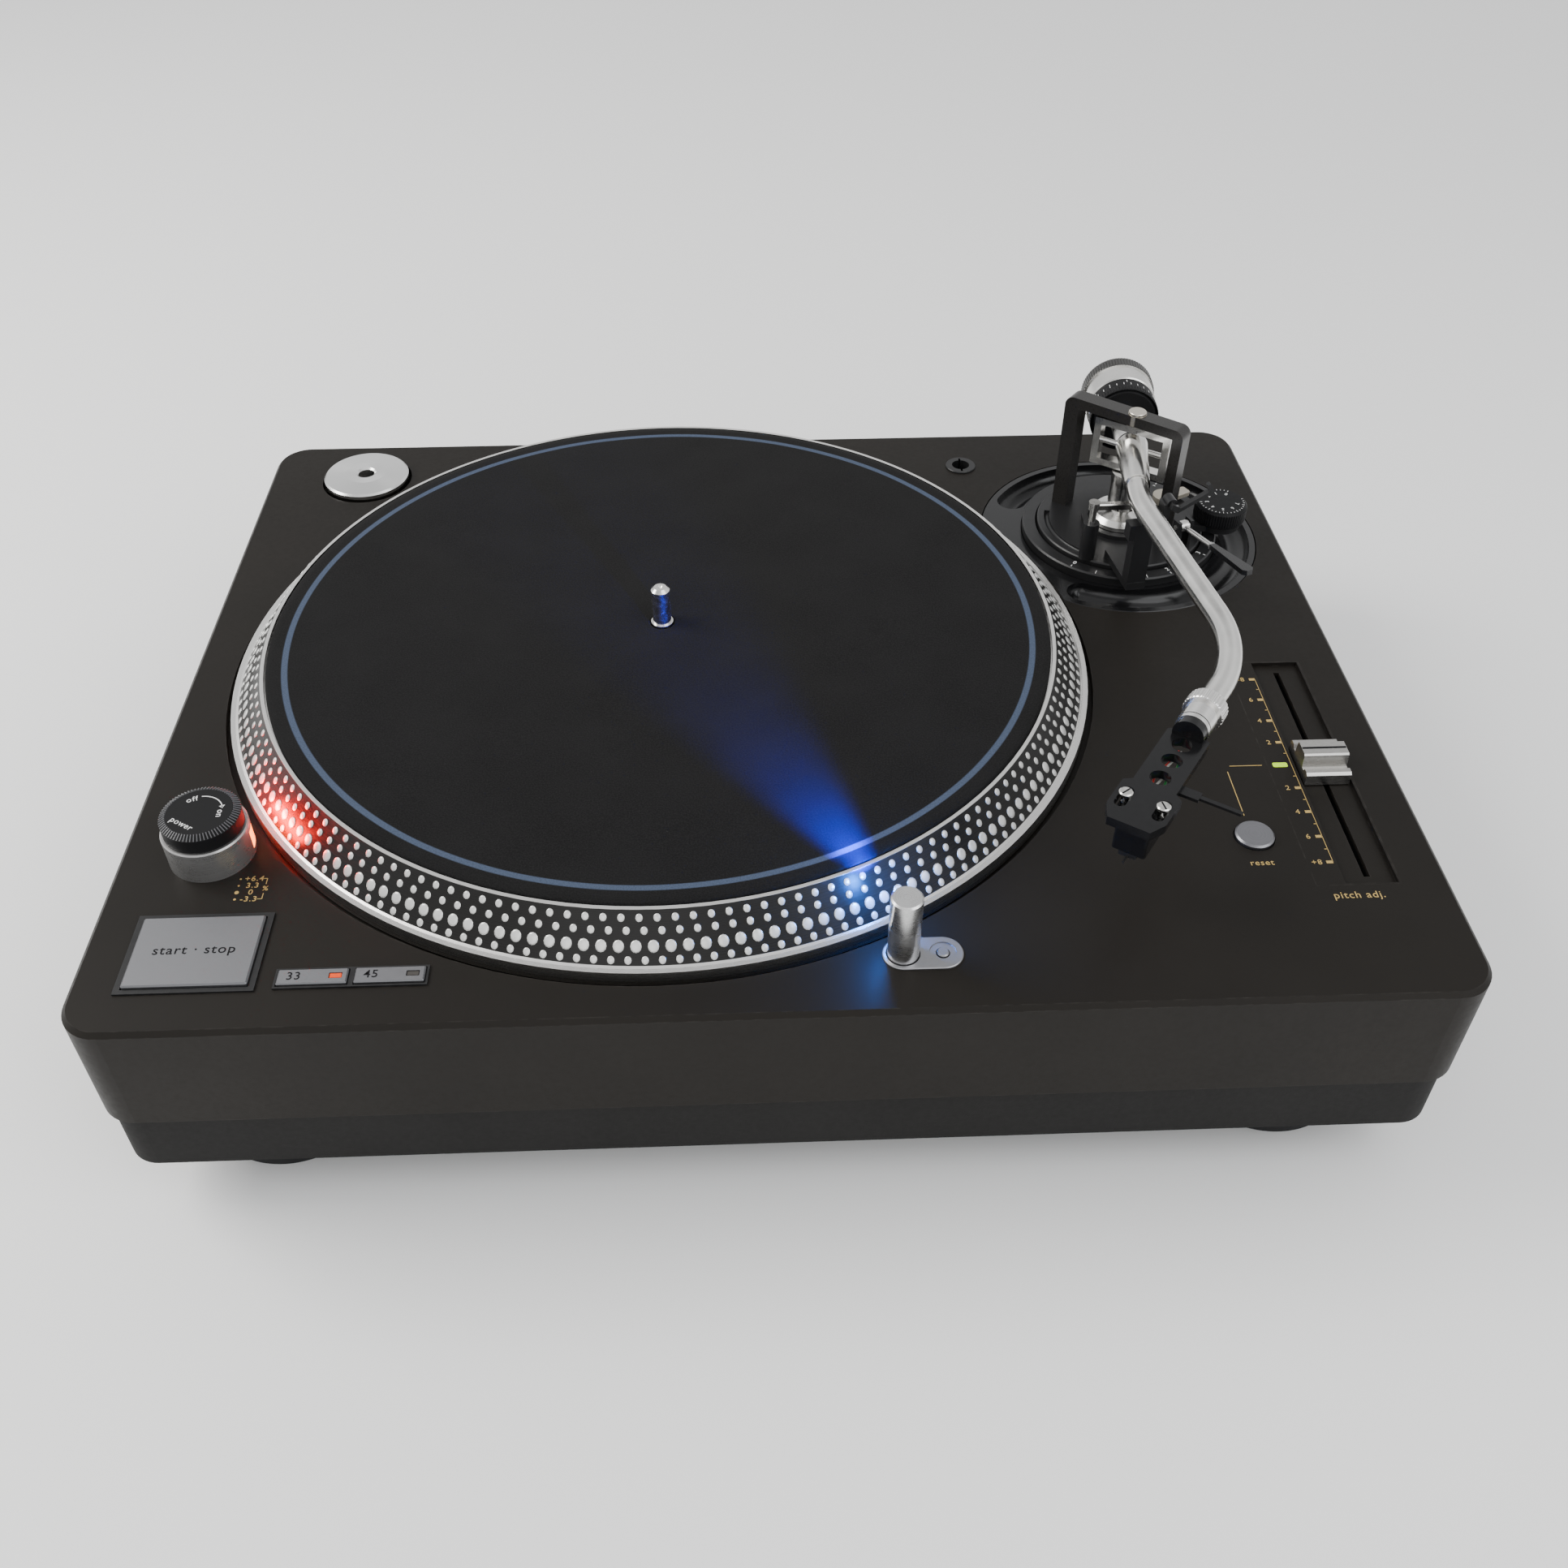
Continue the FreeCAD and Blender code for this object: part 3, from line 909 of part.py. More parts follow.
def build_arm():
    """Housing on its tilt pins, the S-shaped tube and the rear shaft."""
    centre = (*ARM, "arm_z")
    forward = pointing(heading("tube_heading"))
    ball = doc.addObject("Part::Sphere", "housing_ball")
    bind(ball, "Radius", "hub_ball")
    place(ball, centre)
    cone = doc.addObject("Part::Cone", "housing_cone")
    bind(cone, "Radius1", "hub_ball")
    bind(cone, "Radius2", "cone_end")
    bind(cone, "Height", "cone_length")
    place(cone, centre, forward)
    rear = rod("housing_rear", "rear_radius", "rear_start", centre, pointing(heading("rear_heading")))
    pins = rod("tilt_pins", "tilt_pin", "2 * pin_reach",
               ("arm_x + pin_reach * sin(shell_heading)", "arm_y - pin_reach * cos(shell_heading)",
                "arm_z"),
               pointing(sideways_of("shell_heading")))
    bore = rod("housing_bore", "cone_bore", "cone_length",
               (*from_arm("tube_heading", "tube_start - 0.5"), "arm_z"),
               forward)
    pieces["arm_housing"] = cut("arm_housing", fuse("housing_body", ball, cone, rear, pins), bore)

    path = draw_arm_path()
    walls = []
    for name, radius in (("tube_outer", "arm_radius"), ("tube_inner", "arm_bore")):
        ring = doc.addObject("Part::Circle", f"{name}_ring")
        bind(ring, "Radius", radius)
        place(ring, (*from_arm("tube_heading", "tube_start"), "arm_z"), forward)
        sweep = doc.addObject("Part::Sweep", name)
        sweep.Sections = [ring]
        sweep.Spine = (path, [f"Edge{k}" for k in range(1, 6)])
        sweep.Solid = True
        walls.append(sweep)
    pieces["arm_tube"] = cut("arm_tube", *walls)
    pieces["rear_shaft"] = turned(
        "rear_shaft",
        [("0", "rear_start"), ("rear_radius", "rear_start"), ("rear_radius", "rear_groove"),
         ("rear_neck", "rear_groove"),
         ("rear_neck", "rear_groove + 0.8"), ("rear_radius", "rear_groove + 0.8"),
         ("rear_radius", "rear_step"),
         ("rear_rod", "rear_step"), ("rear_rod", "rear_end"), ("0", "rear_end")],
        centre, pointing(heading("rear_heading")),
    )


def draw_arm_path():
    """Centre line of the tube: three straight runs joined by two tangent arcs."""
    start = FreeCAD.Vector(*heading("tube_heading")) * SIZES["tube_start"]
    first = FreeCAD.Vector(SIZES["bend_one_dx"], SIZES["bend_one_dy"], 0)
    second = FreeCAD.Vector(SIZES["bend_two_dx"], SIZES["bend_two_dy"], 0)
    shell = FreeCAD.Vector(*heading("shell_heading"))
    finish = FreeCAD.Vector(SIZES["shell_dx"], SIZES["shell_dy"], 0) - shell * SIZES["socket_face"]
    sketch = doc.addObject("Sketcher::SketchObject", "arm_path")
    corners = [start, first, second, finish]
    spots = [start]
    arcs = []
    for before, corner, after, radius in zip(corners, corners[1:], corners[2:],
                                             (SIZES["bend_one"], SIZES["bend_two"])):
        arriving = (corner - before).normalize()
        leaving = (after - corner).normalize()
        half_turn = arriving.getAngle(leaving) / 2
        reach = radius * math.tan(half_turn)
        inward = (leaving - arriving).normalize()
        centre = corner + inward * (radius / math.cos(half_turn))
        arcs.append((corner - arriving * reach, centre - inward * radius, corner + leaving * reach))
        spots += [arcs[-1][0], arcs[-1][2]]
    spots.append(finish)
    sketch.addGeometry(Part.LineSegment(spots[0], spots[1]))
    sketch.addGeometry(Part.Arc(*arcs[0]))
    sketch.addGeometry(Part.LineSegment(spots[2], spots[3]))
    sketch.addGeometry(Part.Arc(*arcs[1]))
    sketch.addGeometry(Part.LineSegment(spots[4], spots[5]))
    return place(sketch, (*ARM, "arm_z"))


def build_counterweight():
    """Threaded core on the rear rod, the weight round it, and the force dial on the weight's nose."""
    back = pointing(heading("rear_heading"))
    centre = (*ARM, "arm_z")
    pieces["weight_core"] = turned(
        "weight_core",
        [("core_inner", "core_start"), ("core_outer", "core_start"), ("core_outer", "core_end"),
         ("core_inner", "core_end")],
        centre, back,
    )
    pieces["counterweight"] = turned(
        "counterweight",
        [("core_outer + 0.1", "core_start"), ("dial_seat - 0.1", "core_start"),
         ("dial_seat - 0.1", "weight_start"),
         ("weight_radius - 0.5", "weight_start"), ("weight_radius", "weight_start + 0.5"),
         ("weight_radius", "band_start"), ("weight_band", "band_start"), ("weight_band", "band_end"),
         ("weight_band - 0.8", "weight_end"), ("stub_radius", "weight_end"),
         ("stub_radius", "stub_end - 0.6"),
         ("stub_radius - 0.6", "stub_end"), ("0", "stub_end"), ("0", "core_end + 0.4"),
         ("core_outer + 0.1", "core_end + 0.4")],
        centre, back,
    )
    pieces["force_dial"] = turned(
        "force_dial",
        [("dial_bore", "dial_start"), ("dial_radius - 1.5", "dial_start"),
         ("dial_radius", "dial_start + 2"),
         ("dial_radius", "dial_end"), ("dial_seat", "dial_end"), ("dial_seat", "core_start - 0.6"),
         ("dial_bore", "core_start - 0.6")],
        centre, back,
    )


def build_headshell():
    """Lock nut at the tube's end, and the headshell with its plug, cartridge and finger lift."""
    along = pointing(heading("shell_heading"))
    turn = spun(SIZES["shell_heading"])
    origin = (*on_shell("0"), "arm_z")
    pieces["lock_nut"] = turned(
        "lock_nut",
        [("nut_bore", "nut_start"), ("nut_radius", "nut_start"), ("nut_radius", "nut_start + 0.8"),
         ("nut_flange", "nut_start + 0.8"), ("nut_flange", "flange_end"), ("nut_radius", "flange_end"),
         ("nut_radius", "-socket_face"), ("nut_bore", "-socket_face")],
        origin, along,
    )
    pieces["headshell_plug"] = turned(
        "headshell_plug",
        [("0", "plug_start"), ("plug_radius", "plug_start"), ("plug_radius", "ring_start"),
         ("ring_radius", "ring_start"), ("ring_radius", "ring_end"), ("0", "ring_end")],
        origin, along,
    )
    side = [("shell_back", "shell_narrow - 1"), ("shell_back + 1", "shell_narrow"),
            ("shell_step - 1", "shell_narrow"),
            ("shell_step + 1", "shell_wide"), ("shell_shoulder", "shell_wide"),
            ("shell_front", "shell_nose")]
    outline = [(s, f"-({w})") for s, w in side] + [(s, w) for s, w in reversed(side)]
    holes = [((s, "0"), "shell_hole") for s in ("0", "hole_two", "hole_three")]
    plate = prism("shell_plate", outline, "shell_thick", (*on_shell("0"), "shell_low"), turn, holes=holes)
    doc.recompute()
    slots = [
        slab(f"shell_slot_{k}", ("slot_end - slot_start", "2 * slot_radius", "shell_thick + 2"),
             (*on_shell("(slot_start + slot_end) / 2", f"{sign} * slot_side"), "shell_low - 1"), turn,
             corner="slot_radius - 0.01")
        for k, sign in enumerate((-1, 1))
    ]
    neck = rod("shell_neck", "ring_radius - 0.4", "3.2", (*on_shell("ring_end"), "arm_z"), along)
    web = slab("shell_web", ("3.4", "9", "arm_z - shell_low"), (*on_shell("shell_back + 0.9"), "shell_low"),
               turn)
    pieces["headshell"] = cut("headshell", fuse("shell_body", plate, neck, web), *slots)

    top = "shell_low + shell_thick"
    bolts = []
    for k, sign in enumerate((-1, 1)):
        bolts.append(turned(
            f"shell_bolt_{k}",
            [("0", "shell_low - 1.8"), ("bolt_shank", "shell_low - 1.8"), ("bolt_shank", top),
             ("bolt_head", top),
             ("bolt_head", f"{top} + 1"), ("bolt_head - 0.4", f"{top} + 1.3"), ("0", f"{top} + 1.3")],
            (*on_shell("bolt_at", f"{sign} * slot_side"), "0"),
        ))
    pieces["headshell_screws"] = group("headshell_screws", *bolts)
    length = "(cart_front - cart_back)"
    middle = "(cart_front + cart_back) / 2"
    body = slab("cart_body", (length, "cart_width - 4", "shell_low - cart_low"),
                (*on_shell(middle), "cart_low"), turn,
                corner="1")
    ears = slab("cart_ears", ("6", "cart_width", "2"), (*on_shell("bolt_at"), "shell_low - 2"), turn,
                corner="1")
    bores = [rod(f"cart_bore_{k}", "bolt_shank + 0.1", "4",
                 (*on_shell("bolt_at", f"{sign} * slot_side"), "shell_low - 3"))
             for k, sign in enumerate((-1, 1))]
    pieces["cartridge"] = cut("cartridge", fuse("cart_solid", body, ears), *bores)
    holder = slab("stylus_holder", ("8", "6", "cart_low - stylus_tip - 1.2"),
                  (*on_shell("stylus_at - 6.4"), "stylus_tip + 1.2"), turn)
    beam = slab("stylus_beam", ("4.6", "0.7", "0.7"), (*on_shell("stylus_at - 1.6"), "stylus_tip + 1.3"),
                turn)
    tip = doc.addObject("Part::Cone", "stylus_cone")
    tip.Radius1, tip.Radius2 = 0.08, 0.35
    tip.Height = 1.5
    place(tip, (*on_shell("stylus_at"), "stylus_tip"))
    pieces["stylus"] = fuse("stylus", holder, beam, tip)
    root = slab("lift_root", ("4", "6.5", "1.2"),
                (*on_shell("lift_at", "shell_narrow + 3.25"), "shell_low + 0.4"), turn)
    blade = slab("lift_blade", ("1.6", "lift_length - 6", "1"),
                 (*on_shell("lift_at", "shell_narrow + 6 + (lift_length - 6) / 2"), "shell_low + 0.5"),
                 turn, corner="0.5")
    pieces["finger_lift"] = fuse("finger_lift", root, blade)


# ---------------------------------------------------------------- electrics
def build_electrics():
    """Circuit board and transformer on the tray's floor, and the sockets in the rear wall."""
    board = slab("board", ("board_length", "board_width", "board_thick"), ("board_x", "board_y", "board_z"))
    parts = [board]
    for k, (sx, sy) in enumerate(CORNERS):
        spot = (f"board_x + {sx} * (board_length / 2 - 6)", f"board_y + {sy} * (board_width / 2 - 6)",
                "floor_z")
        parts.append(rod(f"standoff_{k}", "3", "board_z - floor_z + 0.5", spot))
    top = "board_z + board_thick - 0.2"
    for k in range(3):
        parts.append(slab(f"chip_{k}", ("22", "9", "3.6"),
                          (f"board_x - 40 + {k} * 34", "board_y - 14", top)))
        parts.append(rod(f"capacitor_{k}", "6", "16", (f"board_x - 48 + {k} * 20", "board_y + 22", top)))
    parts.append(slab("heat_sink", ("34", "12", "22"), ("board_x + 42", "board_y + 24", top)))
    pieces["main_board"] = fuse("main_board", *parts)
    core = slab("transformer_core", ("core_length", "core_width", "core_height"),
                ("transformer_x", "transformer_y", "floor_z"), edge="1")
    winding = slab("transformer_winding", ("winding_width", "winding_length", "winding_height"),
                   ("transformer_x", "transformer_y", "floor_z + (core_height - winding_height) / 2"),
                   corner="5")
    pieces["power_transformer"] = fuse("power_transformer", core, winding)

    back = "deck_depth / 2"
    block = slab("inlet_block", ("inlet_length", "inlet_depth", "inlet_height"),
                 ("inlet_x", f"{back} - inlet_depth / 2", "inlet_z - inlet_height / 2"))
    well = slab("inlet_well", ("socket_length", "socket_depth + 1", "socket_height"),
                ("inlet_x", f"{back} - socket_depth / 2 + 0.5", "inlet_z - socket_height / 2"))
    prongs = [rod(f"inlet_prong_{k}", "prong_radius", "prong_length + 1",
                  (f"inlet_x + {side} * prong_gap", f"{back} - socket_depth - 1", "inlet_z"), REARWARD)
              for k, side in enumerate((-1, 1))]
    pieces["power_inlet"] = fuse("power_inlet", cut("inlet_socket", block, well), *prongs)
    tray = slab("tray_block", ("tray_length", "tray_depth", "tray_height"),
                ("tray_x", f"{back} - tray_depth / 2", "tray_z - tray_height / 2"))
    inside = slab("tray_inside", ("tray_length - 2 * tray_wall", "tray_depth",
                                  "tray_height - 2 * tray_wall"),
                  ("tray_x", f"{back} - tray_depth / 2 + tray_wall",
                   "tray_z - tray_height / 2 + tray_wall"))
    floor = f"{back} - tray_depth + tray_wall"
    posts = []
    for name, x, radius, length in (("left", "jack_x", "jack_radius", "jack_length"),
                                    ("right", "jack_x + jack_gap", "jack_radius", "jack_length"),
                                    ("ground", "ground_x", "ground_radius", "ground_length")):
        posts.append(rod(f"{name}_flange", "jack_flange", "flange_rise + 0.5",
                         (x, f"{floor} - 0.5", "tray_z"), REARWARD))
        posts.append(rod(f"{name}_post", radius, "flange_rise + " + length, (x, floor, "tray_z"), REARWARD))
    pieces["rear_terminals"] = fuse("rear_terminals", cut("terminal_tray", tray, inside), *posts)


def write_pieces():
    """Check every object, then write one file for each sub-part."""
    doc.recompute()
    for thing in doc.Objects:
        if "Invalid" in thing.State or "Error" in thing.State:
            raise RuntimeError(f"{thing.Name} did not build: {thing.State}")
    os.makedirs("parts", exist_ok=True)
    for name, thing in pieces.items():
        thing.Label = name
        if thing.Shape.isNull() or not thing.Shape.isValid():
            raise RuntimeError(f"{name} has no valid shape")
        thing.Shape.exportStep(f"parts/{name}.step")
        box = thing.Shape.BoundBox
        print(f"{name:22s} solids {len(thing.Shape.Solids)}  volume {thing.Shape.Volume:12.1f}  "
              f"z {box.ZMin:7.2f} to {box.ZMax:7.2f}")
    print(len(pieces), "sub-parts")


for build in (build_cabinet, build_base, build_feet, build_drive, build_buttons, build_strobe,
              build_target_light,
              build_pitch_fader, build_dish, build_height_ring, build_base_plate, build_bridge,
              build_arm_rest,
              build_cueing, build_small_knobs, build_gimbal, build_arm, build_counterweight,
              build_headshell,
              build_electrics):
    build()
write_pieces()
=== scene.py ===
"""Looks of the record player: finishes, strobe dots, scales, knurls, felt slipmat, lights and camera.

Metres, in the model's own frame: +X to the player's right, +Y to the rear, floor at z = 0.
"""
import json
import math

import bmesh
import bpy
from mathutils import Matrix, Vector, noise


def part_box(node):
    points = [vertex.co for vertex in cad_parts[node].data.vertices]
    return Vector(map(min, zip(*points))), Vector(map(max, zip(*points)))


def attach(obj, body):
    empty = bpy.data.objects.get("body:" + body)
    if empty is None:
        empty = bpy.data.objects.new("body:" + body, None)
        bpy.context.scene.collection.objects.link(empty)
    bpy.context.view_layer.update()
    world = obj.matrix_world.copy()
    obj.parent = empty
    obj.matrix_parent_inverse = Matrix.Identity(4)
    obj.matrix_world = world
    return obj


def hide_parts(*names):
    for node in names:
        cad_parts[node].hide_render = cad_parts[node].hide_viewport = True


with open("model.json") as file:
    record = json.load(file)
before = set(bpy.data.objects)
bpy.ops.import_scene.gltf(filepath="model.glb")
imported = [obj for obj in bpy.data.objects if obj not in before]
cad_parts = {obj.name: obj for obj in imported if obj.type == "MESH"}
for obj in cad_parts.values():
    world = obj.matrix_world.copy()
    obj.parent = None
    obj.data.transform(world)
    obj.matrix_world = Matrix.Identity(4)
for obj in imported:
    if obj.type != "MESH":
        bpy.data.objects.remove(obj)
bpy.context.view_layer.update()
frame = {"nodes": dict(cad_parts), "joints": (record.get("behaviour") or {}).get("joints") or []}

MM = 0.001
NODES = frame["nodes"]
JOINTS = {joint["name"]: joint for joint in frame["joints"]}
UP = Vector((0, 0, 1))


# ---------------------------------------------------------------- places read from the frame
def centre_of(node):
    """Middle of a node's box."""
    low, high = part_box(node)
    return (low + high) / 2


def top_of(node):
    """Height of a node's top."""
    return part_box(node)[1].z


def half_width(node):
    """Half of a node's extent along X."""
    low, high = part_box(node)
    return (high.x - low.x) / 2


def pivot(joint):
    """A point on a joint's axis."""
    return Vector(JOINTS[joint]["pos_m"])


def direction(joint):
    """Unit vector along a joint's axis."""
    return Vector(JOINTS[joint]["axis"]).normalized()


def heading(degrees):
    """Level unit vector at an angle, in u and v."""
    angle = math.radians(degrees)
    return Vector((math.cos(angle), math.sin(angle)))


def level_way(start, end):
    """Level unit vector from one place to another."""
    return Vector((end.x - start.x, end.y - start.y, 0)).normalized()


DECK_TOP = top_of("top_cabinet")
SPINDLE = pivot("platter_spin")
ARM = pivot("arm_swing")
POD = pivot("power_turn")
ADAPTER = centre_of("adapter")
REAR_WAY = direction("weight_travel")
SHELL_WAY = direction("headshell_pull")
SHELL_SIDE = UP.cross(SHELL_WAY).normalized()
SHELL_HOLE = pivot("lock_nut_turn") + SHELL_WAY * 23.0 * MM      # the headshell's first round hole

# platter, as radii about the spindle
SLOPE_FOOT, SLOPE_HEAD = 163.2 * MM, 152.2 * MM
LIP_TOP, RIM_TOP = 98.5 * MM, top_of("platter")
RING_INNER, RING_OUTER = 142.0 * MM, 144.3 * MM
DOT_ROWS = ((153.85 * MM, 169, 2.2 * MM), (156.35 * MM, 174, 2.2 * MM),      # radius, count, width
            (159.4 * MM, 180, 3.4 * MM), (162.1 * MM, 186, 2.2 * MM))

DIAL_RADIUS = 14.5 * MM    # force dial's drum
PRINT = 0.07 * MM          # how far a printed mark stands off its surface
SUNK = 0.05 * MM           # and how far its underside goes in

DARK_DECK = (0.0125, 0.0108, 0.0090)
SILVER = (0.75, 0.74, 0.715)
GOLD = (0.52, 0.36, 0.12)
WHITE_PRINT = (0.75, 0.75, 0.74)
BLACK = (0.011, 0.011, 0.0115)
GLOSS_BLACK = (0.0065, 0.0065, 0.007)


# ---------------------------------------------------------------- materials
class Finish:
    """A procedural material: one Principled shader fed by patterns in the object's own space."""

    def __init__(self, name, **sockets):
        self.material = bpy.data.materials.new(name)
        self.material.use_nodes = True
        self.tree = self.material.node_tree
        self.shader = self.tree.nodes["Principled BSDF"]
        self.place = self.add("ShaderNodeTexCoord").outputs["Object"]
        for socket, value in sockets.items():
            self.shader.inputs[socket.replace("_", " ")].default_value = value

    def add(self, kind, **settings):
        node = self.tree.nodes.new(kind)
        for key, value in settings.items():
            setattr(node, key, value)
        return node

    def feed(self, socket, value):
        """Set a socket to a constant, or link another node's output to it."""
        if isinstance(value, bpy.types.NodeSocket):
            self.tree.links.new(value, socket)
        else:
            socket.default_value = value

    def maths(self, operation, *terms):
        """One step of arithmetic."""
        node = self.add("ShaderNodeMath", operation=operation)
        for socket, term in zip(node.inputs, terms):
            self.feed(socket, term)
        return node.outputs[0]

    def offset(self, origin, along=None):
        """The place measured from an origin; with a direction, how far along it."""
        node = self.add("ShaderNodeVectorMath", operation="SUBTRACT")
        self.feed(node.inputs[0], self.place)
        self.feed(node.inputs[1], tuple(origin))
        if along is None:
            return node.outputs[0]
        dot = self.add("ShaderNodeVectorMath", operation="DOT_PRODUCT")
        self.feed(dot.inputs[0], node.outputs[0])
        self.feed(dot.inputs[1], tuple(along))
        return dot.outputs["Value"]

    def radius(self, origin, axis=UP):
        """Distance from an axis."""
        across = self.add("ShaderNodeVectorMath", operation="CROSS_PRODUCT")
        self.feed(across.inputs[0], self.offset(origin))
        self.feed(across.inputs[1], tuple(axis))
        length = self.add("ShaderNodeVectorMath", operation="LENGTH")
        self.feed(length.inputs[0], across.outputs[0])
        return length.outputs["Value"]

    def rings(self, radius, height=0.0):
        """A place that changes only with the distance from an axis, and along it."""
        node = self.add("ShaderNodeCombineXYZ")
        self.feed(node.inputs[0], radius)
        self.feed(node.inputs[1], height)
        return node.outputs[0]

    def ramp(self, value, low, high, out_low=0.0, out_high=1.0):
        """A straight change from one value to another, held beyond its ends."""
        node = self.add("ShaderNodeMapRange")
        for socket, term in zip(node.inputs, (value, low, high, out_low, out_high)):
            self.feed(socket, term)
        return node.outputs[0]

    def step(self, value, edge, soft=0.1 * MM):
        """0 below an edge and 1 above it."""
        return self.ramp(value, edge - soft, edge + soft)

    def band(self, value, low, high, soft=0.06 * MM):
        """1 between two values and 0 outside them."""
        return self.maths("MULTIPLY", self.step(value, low, soft),
                          self.ramp(value, high - soft, high + soft, 1.0, 0.0))

    def noise(self, size, detail=3.0, stretch=(1, 1, 1), place=None):
        """Noise whose grain is about size metres."""
        mapping = self.add("ShaderNodeMapping")
        self.feed(mapping.inputs["Vector"], place or self.place)
        self.feed(mapping.inputs["Scale"], stretch)
        node = self.add("ShaderNodeTexNoise")
        self.feed(node.inputs["Vector"], mapping.outputs[0])
        self.feed(node.inputs["Scale"], 1 / size)
        self.feed(node.inputs["Detail"], detail)
        return node.outputs[0]

    def mix(self, share, first, second):
        """One colour turning into another as share goes from 0 to 1."""
        node = self.add("ShaderNodeMix", data_type="RGBA")
        factor, colours = node.inputs[0], node.inputs[6:8]
        self.feed(factor, share)
        for socket, colour in zip(colours, (first, second)):
            self.feed(socket, rgba(colour))
        return node.outputs[2]

    def worn_edge(self, radius, amount):
        """Near 1 along sharp edges, broken up by noise; it marks edges lightened partly as rubbed wear and
        partly as a painted highlight.
        """
        bevel = self.add("ShaderNodeBevel", samples=4)
        self.feed(bevel.inputs["Radius"], radius)
        geometry = self.add("ShaderNodeNewGeometry")
        dot = self.add("ShaderNodeVectorMath", operation="DOT_PRODUCT")
        self.feed(dot.inputs[0], bevel.outputs[0])
        self.feed(dot.inputs[1], geometry.outputs["Normal"])
        edge = self.ramp(dot.outputs["Value"], 0.995, 0.90)
        return self.maths("MULTIPLY", edge, self.ramp(self.noise(4 * MM), 0.42, 0.72, 0.0, amount))

    def colour(self, value):
        self.feed(self.shader.inputs["Base Color"], value)

    def rough(self, value):
        self.feed(self.shader.inputs["Roughness"], value)

    def metallic(self, value):
        self.feed(self.shader.inputs["Metallic"], value)

    def glow(self, colour, strength):
        self.feed(self.shader.inputs["Emission Color"], colour)
        self.feed(self.shader.inputs["Emission Strength"], strength)

    def bump(self, height, strength, distance=0.1 * MM):
        node = self.add("ShaderNodeBump")
        self.feed(node.inputs["Strength"], strength)
        self.feed(node.inputs["Distance"], distance)
        self.feed(node.inputs["Height"], height)
        self.feed(self.shader.inputs["Normal"], node.outputs[0])


def rgba(value):
    """A colour with its alpha; a link is passed on as it is."""
    return (*value, 1.0) if isinstance(value, tuple) and len(value) == 3 else value


def shade(base, factor, lift=0.0):
    """A lighter or darker tone of a colour."""
    return tuple(min(1.0, factor * c + lift) for c in base)


def painted(name, base, rough, grain=0.5 * MM, edge_wear_and_highlight=0.0, bump=0.25, **sockets):
    """Satin paint or moulded plastic: fine orange peel, slow change of tone, and edges lightened partly as
    rubbed wear and partly as painted highlight.
    """
    finish = Finish(name, **sockets)
    tone = finish.ramp(finish.noise(38 * MM), 0.3, 0.7)
    colour = finish.mix(tone, shade(base, 0.93), shade(base, 1.07))
    if edge_wear_and_highlight:
        # Lighter edges: partly rubbed wear, partly a painted highlight along the edges.
        colour = finish.mix(finish.worn_edge(0.5 * MM, edge_wear_and_highlight), colour, shade(base, 3.2, 0.03))
    finish.colour(colour)
    finish.rough(finish.ramp(finish.noise(2 * MM), 0.3, 0.7, rough - 0.03, rough + 0.04))
    finish.bump(finish.noise(grain, 2.0), bump, 0.05 * MM)
    return finish.material


def metal(name, base, rough, stretch=(1, 1, 1), grain=0.35 * MM, bump=0.2, **sockets):
    """Bare metal with fine lines where stretch squeezes two axes more than the third."""
    finish = Finish(name, Metallic=1.0, **sockets)
    lines = finish.noise(grain, 3.0, stretch)
    finish.colour(finish.mix(finish.ramp(lines, 0.3, 0.7), shade(base, 0.88), base))
    finish.rough(finish.ramp(lines, 0.3, 0.7, rough - 0.05, rough + 0.09))
    finish.bump(lines, bump, 0.02 * MM)
    return finish.material


def turned_metal(name, base, rough, origin, axis=UP, metallic=1.0):
    """Lathe-turned metal: fine rings about an axis, and a few smudges."""
    finish = Finish(name, Metallic=metallic)
    rings = finish.rings(finish.radius(origin, axis), finish.offset(origin, axis))
    lines = finish.noise(0.25 * MM, 2.0, place=rings)
    smudge = finish.noise(6 * MM)
    finish.colour(finish.mix(finish.ramp(lines, 0.3, 0.7), shade(base, 0.86), base))
    finish.rough(finish.maths("ADD", finish.ramp(lines, 0.3, 0.7, rough - 0.04, rough + 0.05),
                              finish.ramp(smudge, 0.4, 0.7, 0.0, 0.08)))
    finish.bump(lines, 0.25, 0.02 * MM)
    return finish.material


def radial_brushed(name, base, rough, origin):
    """Brushing that turns round an axis, so that highlights fan out from the middle."""
    finish = Finish(name, Metallic=1.0, Anisotropic=0.85)
    tangent = finish.add("ShaderNodeTangent", direction_type="RADIAL", axis="Z")
    finish.feed(finish.shader.inputs["Tangent"], tangent.outputs[0])
    fine = finish.noise(0.12 * MM, 2.0, place=finish.rings(finish.radius(origin)))
    finish.colour(finish.mix(fine, shade(base, 0.9), base))
    finish.rough(finish.ramp(fine, 0.3, 0.7, rough - 0.04, rough + 0.06))
    finish.bump(fine, 0.12, 0.02 * MM)
    return finish.material


def platter_finish():
    """Bright metal, with a black slope under the dots."""
    finish = Finish("platter_finish", Specular_IOR_Level=0.2)
    radius = finish.radius(SPINDLE)
    height = finish.offset((0, 0, 0), UP)
    slope = finish.maths("MULTIPLY", finish.band(radius, SLOPE_HEAD, SLOPE_FOOT),
                         finish.ramp(height, LIP_TOP - 0.4 * MM, LIP_TOP))
    finish.colour(finish.mix(slope, (0.78, 0.77, 0.75), (0.012, 0.0115, 0.011)))
    finish.metallic(finish.maths("SUBTRACT", 1.0, slope))
    lines = finish.noise(0.2 * MM, 2.0, place=finish.rings(radius, height))
    finish.rough(finish.ramp(lines, 0.3, 0.7, 0.22, 0.36))
    finish.bump(lines, 0.15, 0.02 * MM)
    return finish.material


